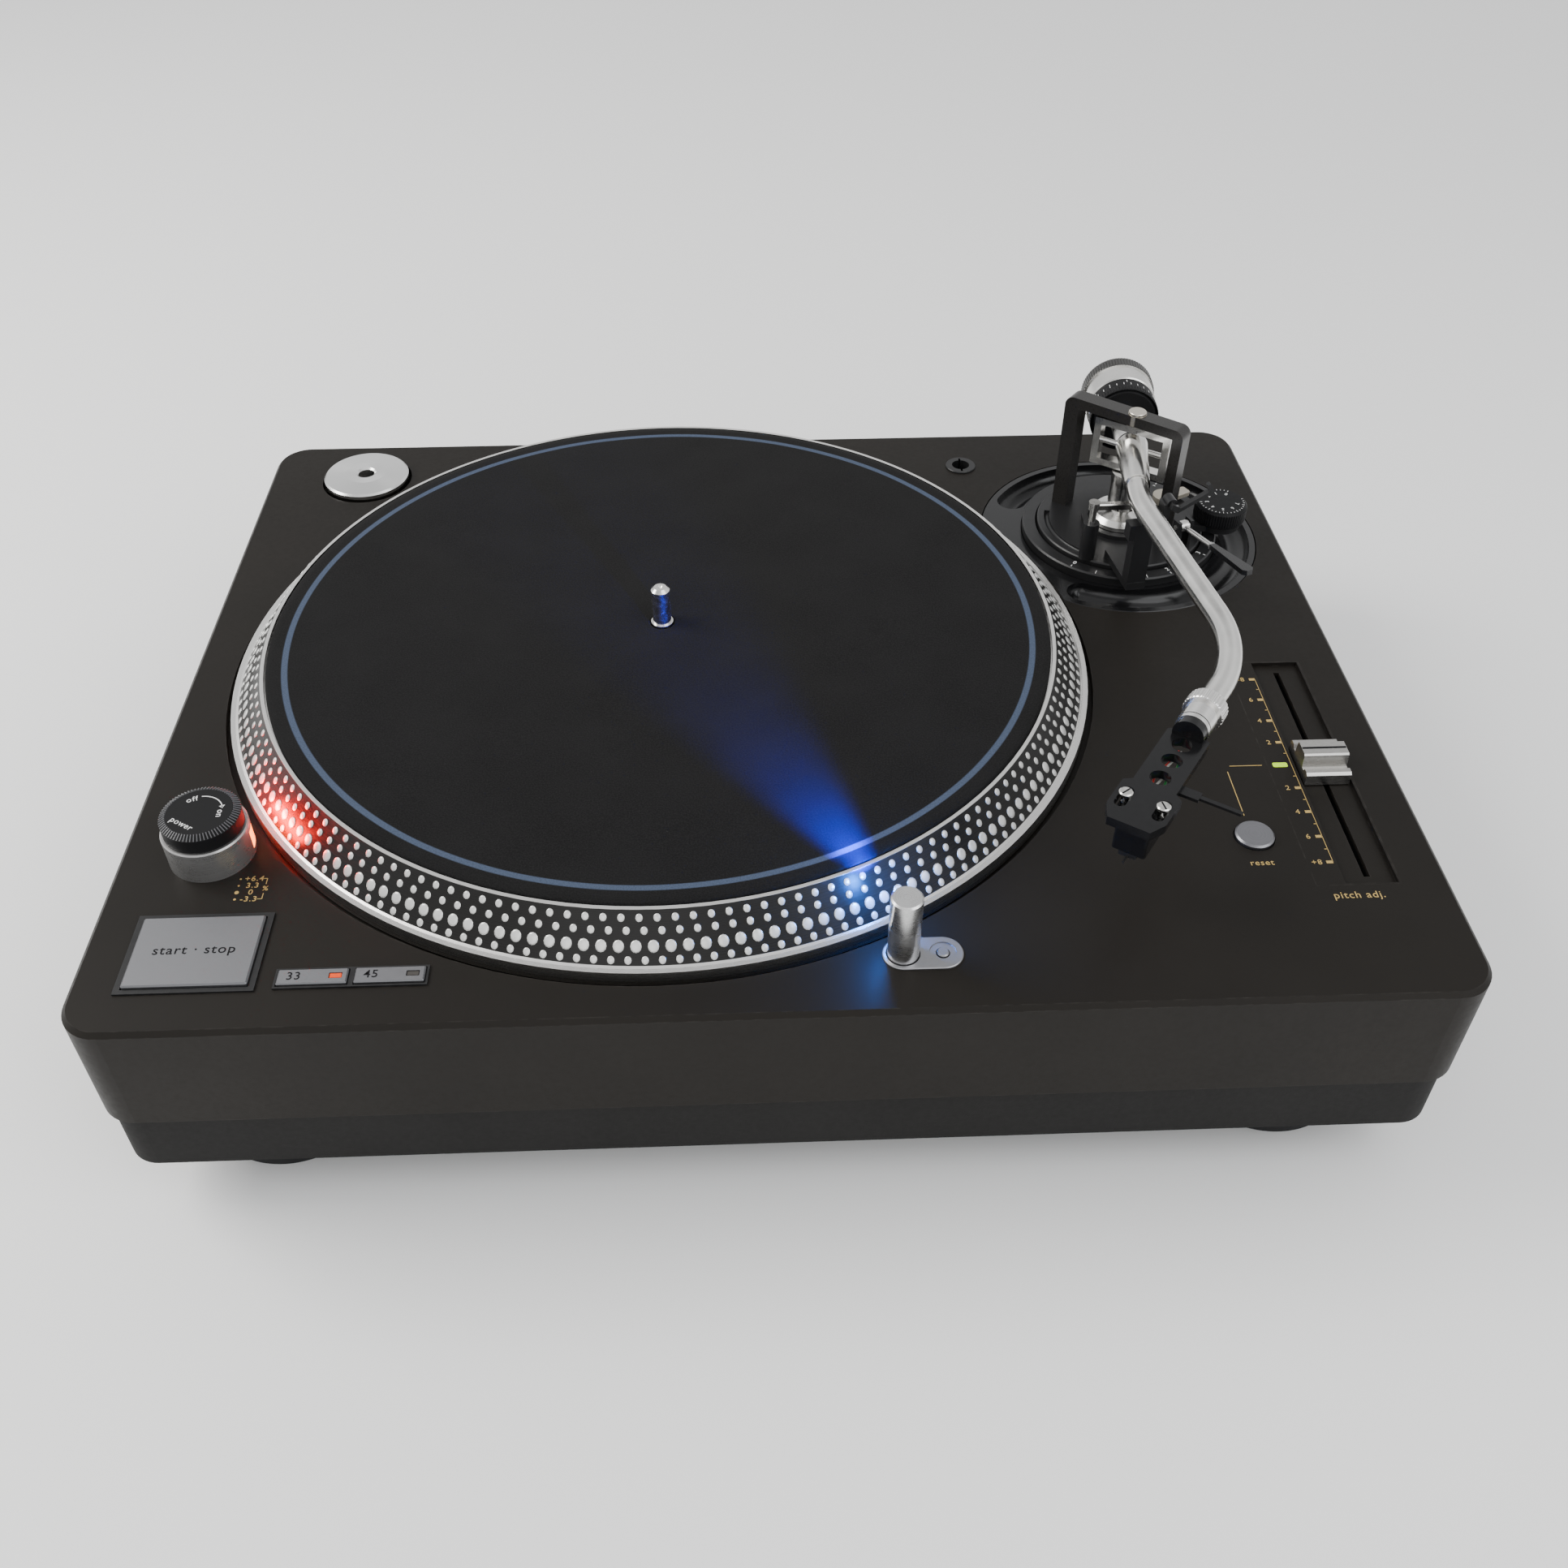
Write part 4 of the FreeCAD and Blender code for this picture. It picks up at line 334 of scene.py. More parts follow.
def felt_finish():
    """Near-black felt with a printed ring, short fibres and light dust."""
    finish = Finish("felt_finish", Sheen_Weight=0.03, Sheen_Roughness=0.5, Specular_IOR_Level=0.10)
    fibres = finish.noise(0.55 * MM, 5.0)
    cloud = finish.noise(24 * MM, 4.0)
    felt = finish.mix(finish.ramp(fibres, 0.35, 0.68), (0.0038, 0.0037, 0.0038), (0.0125, 0.0122, 0.0123))
    felt = finish.mix(finish.ramp(cloud, 0.35, 0.8, 0.0, 0.28), felt, (0.015, 0.0147, 0.015))
    dust = finish.ramp(finish.noise(0.9 * MM, 1.0), 0.80, 0.86, 0.0, 0.5)
    felt = finish.mix(dust, felt, (0.08, 0.08, 0.082))
    ring = finish.maths("MULTIPLY", finish.band(finish.radius(SPINDLE), RING_INNER, RING_OUTER, 0.2 * MM),
                        finish.ramp(fibres, 0.25, 0.6, 0.62, 1.0))
    finish.colour(finish.mix(ring, felt, (0.060, 0.080, 0.125)))
    finish.rough(finish.ramp(fibres, 0.3, 0.7, 0.85, 1.0))
    finish.bump(fibres, 0.55, 0.12 * MM)
    return finish.material


def two_tone(name, share, first, second, rough, metallic=(1.0, 0.0)):
    """A piece with two finishes; share(finish) is 0 on the first and 1 on the second."""
    finish = Finish(name)
    part = share(finish)
    grain = finish.noise(0.4 * MM)
    colour = finish.mix(part, first, second)
    finish.colour(finish.mix(finish.ramp(grain, 0.3, 0.7, 0.0, 0.12), colour, (0.0, 0.0, 0.0)))
    finish.metallic(finish.ramp(part, 0.0, 1.0, *metallic))
    finish.rough(finish.ramp(grain, 0.3, 0.7, rough - 0.05, rough + 0.07))
    finish.bump(grain, 0.12, 0.03 * MM)
    return finish.material


def terminal_share(finish):
    """1 on the black tray and the jacks' flanges, 0 on the bare metal of jacks and post."""
    height = centre_of("rear_terminals").z
    jack_radius, post_radius = 4.4 * MM, 4.8 * MM
    share = 1.0
    for x, radius in ((130 * MM, jack_radius), (150 * MM, jack_radius), (103 * MM, post_radius)):
        black = finish.step(finish.radius((x, 0, height), (0, 1, 0)), radius)
        share = finish.maths("MULTIPLY", share, black)
    return share


def bridge_share(finish):
    """0 on the head of the pivot screw, 1 on the bridge round it."""
    return finish.step(finish.radius(ARM), 3.8 * MM)


def cue_share(finish):
    """0 on the bare rod of the cue lever, 1 on the black grip at its end."""
    axis = direction("cue_turn")
    along = Vector((-axis.y, axis.x, 0)).normalized()
    return finish.step(finish.offset(pivot("cue_turn"), along), 20.0 * MM, 0.5 * MM)


def glowing(name, base, glow, strength):
    """A lit lens or lamp."""
    finish = Finish(name, Roughness=0.18, Coat_Weight=0.4)
    specks = finish.noise(0.7 * MM)
    finish.colour(finish.mix(specks, shade(base, 0.7), base))
    finish.glow(rgba(glow), finish.ramp(specks, 0.3, 0.7, 0.8 * strength, strength))
    return finish.material


def lamp_finish():
    """Three little lamps: the first speed's is lit orange, the second's is dark, the fader's is green."""
    finish = Finish("indicator_tones", Roughness=0.2)
    x = finish.offset((0, 0, 0), (1, 0, 0))
    second_speed = (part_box("button_low_speed")[1].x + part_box("button_high_speed")[0].x) / 2
    soft = 1 * MM
    dark = finish.maths("MULTIPLY", finish.ramp(x, second_speed - soft, second_speed),
                        finish.ramp(x, 0.0, soft, 1.0, 0.0))
    at_fader = finish.ramp(x, 0.0, soft)
    lens = finish.mix(at_fader, (0.5, 0.05, 0.005), (0.35, 0.55, 0.01))
    finish.colour(finish.mix(dark, lens, (0.05, 0.045, 0.04)))
    flicker = finish.ramp(finish.noise(0.8 * MM), 0.3, 0.7, 0.45, 0.8)
    finish.glow(finish.mix(at_fader, (1.0, 0.07, 0.0), (0.55, 1.0, 0.0)),
                finish.maths("MULTIPLY", flicker, finish.maths("SUBTRACT", 1.0, dark)))
    return finish.material


def finishes():
    """Every finish by name, with the CAD nodes that wear it."""
    return {
        "deck_paint": (painted("deck_satin", DARK_DECK, 0.46, 0.35 * MM, edge_wear_and_highlight=0.5, bump=0.35,
                               Specular_IOR_Level=0.12),
                       ("top_cabinet", "pitch_panel")),
        "base": (painted("rubber_base_grain", (0.016, 0.0155, 0.015), 0.68, 0.8 * MM, bump=0.6,
                         Specular_IOR_Level=0.12),
                 ("rubber_base",)),
        "feet": (painted("foot_rubber_grain", (0.013, 0.013, 0.0135), 0.6, 0.6 * MM, bump=0.5,
                         Specular_IOR_Level=0.15),
                 ("foot_front_left", "foot_front_right", "foot_rear_left", "foot_rear_right")),
        "plastic": (painted("black_plastic", BLACK, 0.36, 0.3 * MM, edge_wear_and_highlight=0.35, bump=0.2,
                            Specular_IOR_Level=0.35),
                    ("button_bezels", "armrest", "armrest_clip", "power_inlet", "stylus",
                     "slider_potentiometer", "arm_base_plate", "height_ring", "spare_socket")),
        "gloss": (painted("gloss_black", GLOSS_BLACK, 0.2, 1.2 * MM, bump=0.05,
                          Specular_IOR_Level=0.3, Coat_Weight=0.12, Coat_Roughness=0.12),
                  ("arm_dish", "headshell", "cartridge", "finger_lift")),
        "knob": (painted("knob_black", GLOSS_BLACK, 0.5, 0.4 * MM, edge_wear_and_highlight=0.3, bump=0.15,
                         Specular_IOR_Level=0.15),
                 ("power_knob", "skate_knob", "force_dial")),
        "buttons": (metal("button_silver", (0.20, 0.202, 0.212), 0.5, (1, 9, 9), 1.2 * MM, 0.12),
                    ("start_button", "button_low_speed", "button_high_speed")),
        "reset": (turned_metal("reset_silver", (0.25, 0.25, 0.265), 0.34, centre_of("reset_button")),
                  ("reset_button",)),
        "pod": (turned_metal("pod_silver", (0.42, 0.415, 0.41), 0.26, POD, metallic=0.8),
                ("strobe_pod",)),
        "light": (turned_metal("lamp_silver", (0.74, 0.74, 0.74), 0.24, centre_of("target_lamp")),
                  ("target_lamp",)),
        "light_plate": (metal("light_plate_silver", (0.33, 0.33, 0.345), 0.4, (1, 7, 7), 1.0 * MM, 0.1),
                        ("light_plate", "light_button")),
        "fader": (metal("fader_silver", (0.50, 0.49, 0.47), 0.3, (1, 12, 12), 2.2 * MM),
                  ("pitch_knob",)),
        "silver": (metal("arm_satin", SILVER, 0.17, grain=9 * MM, bump=0.0),
                   ("arm_pillar", "lift_bar", "arm_tube", "arm_housing", "gimbal_ring")),
        "rear": (turned_metal("rear_silver", SILVER, 0.2, ARM, REAR_WAY),
                 ("rear_shaft", "weight_core", "counterweight")),
        "front": (turned_metal("nut_silver", (0.82, 0.81, 0.79), 0.17, pivot("lock_nut_turn"), SHELL_WAY),
                  ("lock_nut", "headshell_plug")),
        "screws": (metal("screw_steel", (0.78, 0.77, 0.74), 0.2, grain=2 * MM, bump=0.03),
                   ("headshell_screws", "spindle")),
        "dark_screws": (metal("dark_screw", (0.10, 0.10, 0.10), 0.35), ("base_screws",)),
        "beige": (painted("lock_beige", (0.42, 0.385, 0.32), 0.35, Metallic=0.4), ("lock_lever",)),
        "adapter": (radial_brushed("adapter_brushed", (0.80, 0.80, 0.79), 0.2, ADAPTER), ("adapter",)),
        "platter": (platter_finish(), ("platter",)),
        "felt": (felt_finish(), ("slipmat",)),
        "coils": (metal("coil_copper", (0.60, 0.27, 0.12), 0.35, (4, 4, 40), 2 * MM, 0.3),
                  ("stator_coils",)),
        "magnet": (painted("magnet_ferrite", (0.05, 0.05, 0.052), 0.6), ("rotor_magnet",)),
        "bearing": (turned_metal("bearing_turned", (0.5, 0.5, 0.5), 0.35, SPINDLE),
                    ("bearing_housing",)),
        "board": (painted("board_green", (0.02, 0.13, 0.05), 0.4), ("main_board",)),
        "transformer": (metal("transformer_steel", (0.22, 0.21, 0.19), 0.45, (1, 1, 12), 1.5 * MM),
                        ("power_transformer",)),
        "bridge": (two_tone("bridge_black", bridge_share, (0.66, 0.62, 0.54), (0.022, 0.0205, 0.019),
                            0.3, (1.0, 0.25)),
                   ("gimbal_bridge",)),
        "cue": (two_tone("cue_lever_tones", cue_share, (0.72, 0.71, 0.69), BLACK, 0.28), ("cue_lever",)),
        "terminals": (two_tone("terminal_tones", terminal_share, (0.72, 0.70, 0.66), BLACK, 0.3),
                      ("rear_terminals",)),
        "strobe": (glowing("strobe_amber", (0.75, 0.16, 0.02), (1.0, 0.20, 0.02), 9.0),
                   ("strobe_window",)),
        "lens": (glowing("lens_blue", (0.1, 0.35, 1.0), (0.12, 0.42, 1.0), 14.0), ("target_lens",)),
        "lamps": (lamp_finish(), ("indicator_lamps",)),
    }


def dress_nodes():
    """Give each CAD node its finish. Returns the materials by name."""
    worn = finishes()
    dressed = set()
    for material, nodes in worn.values():
        for name in nodes:
            data = NODES[name].data
            data.materials.clear()
            data.materials.append(material)
            dressed.add(name)
    bare = set(NODES) - dressed
    assert not bare, f"no finish for {sorted(bare)}"
    return {key: material for key, (material, _) in worn.items()}


# ---------------------------------------------------------------- mesh pieces
def show(name, data):
    """A new object in the scene."""
    thing = bpy.data.objects.new(name, data)
    bpy.context.scene.collection.objects.link(thing)
    return thing


def mesh_of(curve):
    """The mesh of a curve or of words; the curve itself is removed."""
    holder = show(curve.name, curve)
    bpy.context.view_layer.update()
    mesh = bpy.data.meshes.new_from_object(holder)
    bpy.data.objects.remove(holder)
    bpy.data.curves.remove(curve)
    return mesh


def settle(name, mesh, body, material, smooth=True):
    """Make a mesh a piece that rides on a body."""
    mesh.materials.clear()
    mesh.materials.append(material)
    mesh.polygons.foreach_set("use_smooth", [smooth] * len(mesh.polygons))
    thing = show(name, mesh)
    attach(thing, body)
    return thing


class Draft:
    """Collects the closed solids of one piece. Each is drawn flat, in u and v, with w as its height."""

    def __init__(self, place=None):
        self.verts, self.faces = [], []
        self.place = place or (lambda u, v, w: Vector((u, v, w)))

    def solid(self, points, faces):
        start = len(self.verts)
        self.verts += [self.place(*point) for point in points]
        self.faces += [[start + k for k in face] for face in faces]

    def prism(self, outline, low=-SUNK, high=PRINT):
        """A flat plate with an anticlockwise outline."""
        count = len(outline)
        points = [(u, v, low) for u, v in outline] + [(u, v, high) for u, v in outline]
        sides = [[k, (k + 1) % count, count + (k + 1) % count, count + k] for k in range(count)]
        self.solid(points, [list(range(count))[::-1], list(range(count, 2 * count)), *sides])

    def disc(self, u, v, radius, count=20, **heights):
        turn = 2 * math.pi / count
        angles = [k * turn for k in range(count)]
        self.prism([(u + radius * math.cos(a), v + radius * math.sin(a)) for a in angles], **heights)

    def bar(self, start, end, width, **heights):
        """A straight line of a given width."""
        a, b = Vector(start), Vector(end)
        side = Vector((a.y - b.y, b.x - a.x)).normalized() * width / 2
        self.prism([tuple(a - side), tuple(b - side), tuple(b + side), tuple(a + side)], **heights)

    def arc(self, u, v, radius, first, last, width, steps=24, **heights):
        """A curved line about a centre, from one angle to another in degrees."""
        angles = [math.radians(first + (last - first) * k / steps) for k in range(steps + 1)]
        near, far = radius - width / 2, radius + width / 2
        inner = [(u + near * math.cos(a), v + near * math.sin(a)) for a in angles]
        outer = [(u + far * math.cos(a), v + far * math.sin(a)) for a in reversed(angles)]
        self.prism(inner + outer, **heights)

    def text(self, words, u, v, size, turn=0.0, low=-SUNK, high=PRINT):
        """Words centred on a point, turned by some degrees."""
        curve = bpy.data.curves.new("words", "FONT")
        curve.body, curve.size = words, size
        curve.align_x, curve.align_y = "CENTER", "CENTER"
        curve.extrude, curve.resolution_u = (high - low) / 2, 3
        curve.offset, curve.space_character = 0.003 * size, 1.12
        mesh = mesh_of(curve)
        cosine, sine = math.cos(math.radians(turn)), math.sin(math.radians(turn))
        middle = (low + high) / 2
        points = [(u + p.co.x * cosine - p.co.y * sine, v + p.co.x * sine + p.co.y * cosine, middle + p.co.z)
                  for p in mesh.vertices]
        self.solid(points, [list(face.vertices) for face in mesh.polygons])
        bpy.data.meshes.remove(mesh)

    def piece(self, name, body, material, smooth=False):
        """One object of all the solids drawn so far, with its faces turned outwards."""
        mesh = bpy.data.meshes.new(name)
        mesh.from_pydata(self.verts, [], self.faces)
        tool = bmesh.new()
        tool.from_mesh(mesh)
        bmesh.ops.remove_doubles(tool, verts=tool.verts, dist=1e-7)
        bmesh.ops.recalc_face_normals(tool, faces=tool.faces)
        tool.to_mesh(mesh)
        tool.free()
        return settle(name, mesh, body, material, smooth)


def on_top(origin, height):
    """Flat drawing on a level surface, centred on an origin."""
    return lambda u, v, w: Vector((origin[0] + u, origin[1] + v, height + w))


def round_axis(origin, axis, radius):
    """Drawing wrapped on a drum: u goes along its axis, v round it and w outwards."""
    axis = Vector(axis).normalized()
    side = axis.orthogonal().normalized() if abs(axis.z) > 0.9 else axis.cross(UP).normalized()
    other = axis.cross(side)

    def place(u, v, w):
        angle = v / radius
        return Vector(origin) + axis * u + (side * math.cos(angle) + other * math.sin(angle)) * (radius + w)
    return place


def ring_faces(first, second, count):
    """Four-sided faces between two rings of points, each given by its first point's number."""
    return [[first + k, first + (k + 1) % count, second + (k + 1) % count, second + k] for k in range(count)]


def knurl(name, body, material, origin, axis, radius, start, end, teeth, depth):
    """A ring of fine teeth round a drum, with chamfered ends and its inside sunk in the drum."""
    draft = Draft(round_axis(origin, axis, radius))
    around = 2 * math.pi * radius
    chamfer = min(0.4 * MM, (end - start) / 5)
    rows = ((start, -2 * SUNK), (start, 0.0), (start + chamfer, 1.0),      # place along the axis, lift
            (end - chamfer, 1.0), (end, 0.0), (end, -2 * SUNK))
    profile = (0.12, 0.85, 1.0, 0.85)                                      # one tooth
    count = teeth * len(profile)
    points, faces = [], []
    for u, lift in rows:
        for k in range(count):
            height = lift if lift < 0 else lift * depth * profile[k % len(profile)]
            points.append((u, around * (k / count), height))
    for row in range(len(rows)):
        faces += ring_faces(row * count, (row + 1) % len(rows) * count, count)
    draft.solid(points, faces)
    return draft.piece(name, body, material)


# ---------------------------------------------------------------- platter
def strobe_dots(material):
    """Four rows of raised dots on the platter's slope; each row repeats at its own rate."""
    fall = Vector((SLOPE_FOOT - SLOPE_HEAD, LIP_TOP - RIM_TOP)).normalized()
    draft = Draft()
    sides = 12
    wide, long = 1.08, 1.25                                               # round the platter, down the slope
    rings = ((0.5, -0.08 * MM), (0.5, 0.10 * MM), (0.36, 0.26 * MM))      # reach, height
    crown = 0.32 * MM
    for row_radius, count, width in DOT_ROWS:
        share = (SLOPE_FOOT - row_radius) / (SLOPE_FOOT - SLOPE_HEAD)
        height = LIP_TOP + share * (RIM_TOP - LIP_TOP)
        for k in range(count):
            angle = 2 * math.pi * k / count
            out = Vector((math.cos(angle), math.sin(angle), 0))
            around = Vector((-out.y, out.x, 0))
            down = out * fall.x + UP * fall.y
            normal = down.cross(around)
            middle = Vector((SPINDLE.x, SPINDLE.y, height)) + out * row_radius
            points = []
            for reach, lift in rings:
                for j in range(sides):
                    turn = 2 * math.pi * j / sides
                    across = around * math.cos(turn) * wide + down * long * math.sin(turn)
                    points.append(middle + across * width * reach + normal * lift)
            points.append(middle + normal * crown)
            faces = [list(range(sides))[::-1]]
            faces += ring_faces(0, sides, sides) + ring_faces(sides, 2 * sides, sides)
            faces += [[2 * sides + j, 2 * sides + (j + 1) % sides, 3 * sides] for j in range(sides)]
            draft.solid([tuple(point) for point in points], faces)
    return draft.piece("strobe_dots", "platter", material, smooth=True)


def felt_slipmat(material):
    """Felt disc with soft edges and a slightly uneven face, in place of the plain disc."""
    low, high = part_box("slipmat")
    inner, outer = 4.65 * MM, half_width("slipmat") - 0.1 * MM
    bottom, top = low.z + 0.02 * MM, high.z - 0.15 * MM
    soft = 0.9 * MM
    steps, around = 60, 256
    profile = [(inner, bottom), (inner, top - soft / 2), (inner + soft / 2, top)]
    profile += [(inner + soft + (outer - inner - 2 * soft) * k / steps, top) for k in range(steps + 1)]
    profile += [(outer - 0.3 * soft, top - 0.3 * soft), (outer, top - soft),
                (outer, bottom + 0.4 * soft), (outer - 0.4 * soft, bottom)]
    points, faces = [], []
    for r, z in profile:
        for k in range(around):
            angle = 2 * math.pi * k / around
            x, y = r * math.cos(angle), r * math.sin(angle)
            lift = 0.0
            if z == top:
                lift = (0.10 * MM * noise.noise(Vector((x, y, 0)) / (26 * MM))
                        + 0.035 * MM * noise.noise(Vector((x, y, 7)) / (3 * MM)))
            points.append((SPINDLE.x + x, SPINDLE.y + y, z + lift))
    for row in range(len(profile)):
        faces += ring_faces(row * around, (row + 1) % len(profile) * around, around)
    draft = Draft()
    draft.solid(points, faces)
    mat_piece = draft.piece("felt_slipmat", "slipmat", material, smooth=True)
    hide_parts("slipmat")
    return mat_piece


# ---------------------------------------------------------------- scales and lettering
def deck_legends(gold):
    """Gold marks on the deck: the strobe's key, the lines round the fader's lamp and the small words."""
    draft = Draft(on_top((0, 0), DECK_TOP))
    key_x, key_y, row_step = -182.5 * MM, -110.8 * MM, 3.15 * MM
    words_x, bracket_x = key_x + 4.6 * MM, key_x + 9.0 * MM
    rows = (("+6.4", 0.35), ("3.3", 0.35), ("0", 0.75), ("-3.3", 0.45))    # words, radius of the dot
    for row, (words, radius) in enumerate(rows):
        y = key_y - row * row_step
        draft.disc(key_x, y, radius * MM)
        draft.text(words, words_x, y, 3.3 * MM)
    hook, leg, thin = 1.6 * MM, 2.6 * MM, 0.25 * MM
    for y, side in ((key_y, 1), (key_y - 3 * row_step, -1)):
        draft.bar((bracket_x - hook, y), (bracket_x, y), thin)
        draft.bar((bracket_x, y), (bracket_x, y - side * leg), thin)
    draft.text("%", bracket_x + 0.2 * MM, key_y - 1.5 * row_step, 3.0 * MM)

    lamp_x, lamp_y, reset_x, line = 178.5 * MM, -66.75 * MM, 165.0 * MM, 0.3 * MM
    draft.bar((reset_x + 1.5 * MM, lamp_y), (lamp_x, lamp_y), line)
    draft.bar((reset_x, -93.0 * MM), (reset_x, -69.8 * MM), line)
    draft.text("reset", reset_x, -116.4 * MM, 3.6 * MM)
    draft.text("pitch adj.", 193.5 * MM, -132.6 * MM, 4.2 * MM)
    draft.piece("deck_legends", "chassis", gold)


def fader_scale(gold):
    """Scale along the fader: a mark for each step either way, numbers at every second one."""
    draft = Draft(on_top((0, 0), top_of("pitch_panel")))
    middle = centre_of("pitch_panel").y
    line_x, step, last = 189.4 * MM, 12.53 * MM, 8
    for number in range(-last, last + 1):
        y = middle - number * step / 2
        if number % 2 == 0 and number:
            draft.bar((line_x - 2.3 * MM, y), (line_x, y), 1.3 * MM)
            signed = abs(number) == last
            words = f"{number:+d}" if signed else str(abs(number))
            draft.text(words, line_x - (5.6 if signed else 4.9) * MM, y, 3.3 * MM)
        elif number:
            draft.bar((line_x - 1.1 * MM, y), (line_x, y), 0.3 * MM)
    reach = last // 2 * step
    draft.bar((line_x, middle - reach), (line_x, middle + reach), 0.22 * MM)
    draft.piece("fader_scale", "chassis", gold)


def button_words(dark):
    """Plain function words and numbers on the silver keys; the numbers stand at their keys' left."""
    margin = 5.2 * MM
    for node, words, size in (("start_button", "start · stop", 5.2), ("button_low_speed", "33", 4.4),
                              ("button_high_speed", "45", 4.4)):
        low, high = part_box(node)
        draft = Draft(on_top((0, 0), high.z))
        x = low.x + margin if words.isdigit() else (low.x + high.x) / 2
        draft.text(words, x, (low.y + high.y) / 2, size * MM)
        draft.piece(f"{node}_words", node, dark)


def power_marks(white):
    """Switch marks on the knob's cap: off, an arrow round to on, and power."""
    draft = Draft(on_top(POD, top_of("power_knob")))
    track, word_radius, head = 7.6 * MM, 7.2 * MM, 1.0 * MM
    tip, back = 12, 22                                                     # the arrowhead, in degrees
    draft.arc(0, 0, track, 96, tip, 0.35 * MM)
    spots = [(track, tip), (track + head, back), (track - head, back)]
    draft.prism([(r * math.cos(math.radians(a)), r * math.sin(math.radians(a))) for r, a in spots])
    for words, angle, turn in (("off", 122, 20), ("on", -8, -90), ("power", 232, -32)):
        a = math.radians(angle)
        draft.text(words, word_radius * math.cos(a), word_radius * math.sin(a), 3.3 * MM, turn)
    draft.piece("power_marks", "power_knob", white)


def power_flutes(material):
    """Thin ribs down the knob's sloping shoulder."""
    cap, rim, drop = 11.0 * MM, half_width("power_knob"), 1.2 * MM
    top, count, half_rib = top_of("power_knob"), 72, 0.22
    rise = Vector((0.35, 0, 0.9)).normalized() * 0.28 * MM                 # outwards and up
    draft = Draft()
    for k in range(count):
        angle = 2 * math.pi * k / count
        out = Vector((math.cos(angle), math.sin(angle), 0))
        side = Vector((-out.y, out.x, 0)) * half_rib * MM
        lift = out * rise.x + UP * rise.z
        start = Vector((POD.x, POD.y, top)) + out * (cap + 0.15 * MM)
        end = Vector((POD.x, POD.y, top - drop)) + out * (rim - 0.1 * MM)
        points = []
        for base in (start, end):
            points += [base - side - lift * 0.4, base + side - lift * 0.4,
                       base + side * 0.5 + lift, base - side * 0.5 + lift]
        draft.solid([tuple(p) for p in points],
                    [[0, 1, 2, 3], [7, 6, 5, 4], [0, 4, 5, 1], [1, 5, 6, 2], [2, 6, 7, 3], [3, 7, 4, 0]])
    draft.piece("power_flutes", "power_knob", material)


def height_scale(white):
    """Numbers 0 to 6 and half steps on the height ring."""
    draft = Draft(on_top(ARM, top_of("height_ring")))
    first, step, last = 229.7, 30.7, 6                                     # degrees, degrees, number
    words_at, long_from, short_from, marks_to = 38.0 * MM, 40.1 * MM, 38.9 * MM, 41.2 * MM
    for half in range(2 * last + 1):
        angle = first + half * step / 2
        way = heading(angle)
        if half % 2 == 0:
            draft.text(str(half // 2), *(way * words_at), 3.0 * MM, angle + 90)
            draft.bar(way * long_from, way * marks_to, 0.3 * MM)
        else:
            draft.bar(way * short_from, way * marks_to, 0.25 * MM)
    draft.piece("height_scale", "height_ring", white)


def skate_scale(white):
    """Numbers and ticks on the anti-skate knob."""
    draft = Draft(on_top(pivot("skate_turn"), top_of("skate_knob")))
    radius = half_width("skate_knob")
    first, step, parts = 60, 40, 4                                         # degrees, degrees, ticks in a step
    for number in range(8):
        angle = first + number * step
        draft.text(str(number), *(heading(angle) * (radius - 4.4 * MM)), 2.5 * MM, angle - 90)
        for part in range(parts):
            way = heading(angle + part * step / parts)
            inner = radius - (1.8 if part else 2.2) * MM
            draft.bar(way * inner, way * (radius - 1.1 * MM), 0.22 * MM)
    draft.piece("skate_scale", "skate_knob", white)


def force_scale(white):
    """Tracking-force marks and numbers wrapped round the dial behind the gimbal."""
    draft = Draft(round_axis(ARM, REAR_WAY, DIAL_RADIUS))
    around = 2 * math.pi * DIAL_RADIUS
    marks, numbers = 30, 6
    marks_at, words_at = 28.4, 31.2                                        # mm behind the arm's pivot
    for k in range(marks):
        v = around * k / marks
        length = 2.6 if k % 10 == 0 else 1.5
        draft.bar((marks_at * MM, v), ((marks_at + length) * MM, v), 0.24 * MM)
    for number in range(numbers):
        draft.text(str(number % 3), words_at * MM, around * (number + 0.5) / numbers, 2.4 * MM, -90)
    draft.piece("force_scale", "force_dial", white)


# ---------------------------------------------------------------- small hardware
def knurls(worn):
    """The rings of teeth on the counterweight, the force dial, the lock nut and the anti-skate knob."""
    dark = metal("knurl_dark", (0.09, 0.088, 0.085), 0.32, grain=0.5 * MM)
    knurl("counterweight_knurl", "counterweight", dark, ARM, REAR_WAY,
          15.5 * MM, 44.0 * MM, 50.2 * MM, 78, 0.34 * MM)
    knurl("force_dial_knurl", "force_dial", worn["knob"], ARM, REAR_WAY,
          DIAL_RADIUS, 23.5 * MM, 27.4 * MM, 72, 0.32 * MM)
    knurl("lock_nut_knurl", "lock_nut", worn["front"], pivot("lock_nut_turn"), SHELL_WAY,
          6.9 * MM, 0.3 * MM, 5.8 * MM, 30, 0.35 * MM)
    middle = pivot("skate_turn")
    low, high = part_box("skate_knob")
    knurl("skate_knob_knurl", "skate_knob", worn["knob"], (middle.x, middle.y, 0), UP,
          half_width("skate_knob"), low.z + 0.6 * MM, high.z - 0.8 * MM, 60, 0.3 * MM)


def fader_line(dark):
    """A black line on the middle of the fader knob."""
    middle, half = centre_of("pitch_knob"), half_width("pitch_knob") - 0.2 * MM
    draft = Draft(on_top(middle, top_of("pitch_knob")))
    draft.bar((-half, 0), (half, 0), 0.9 * MM)
    draft.piece("fader_line", "pitch_knob", dark)


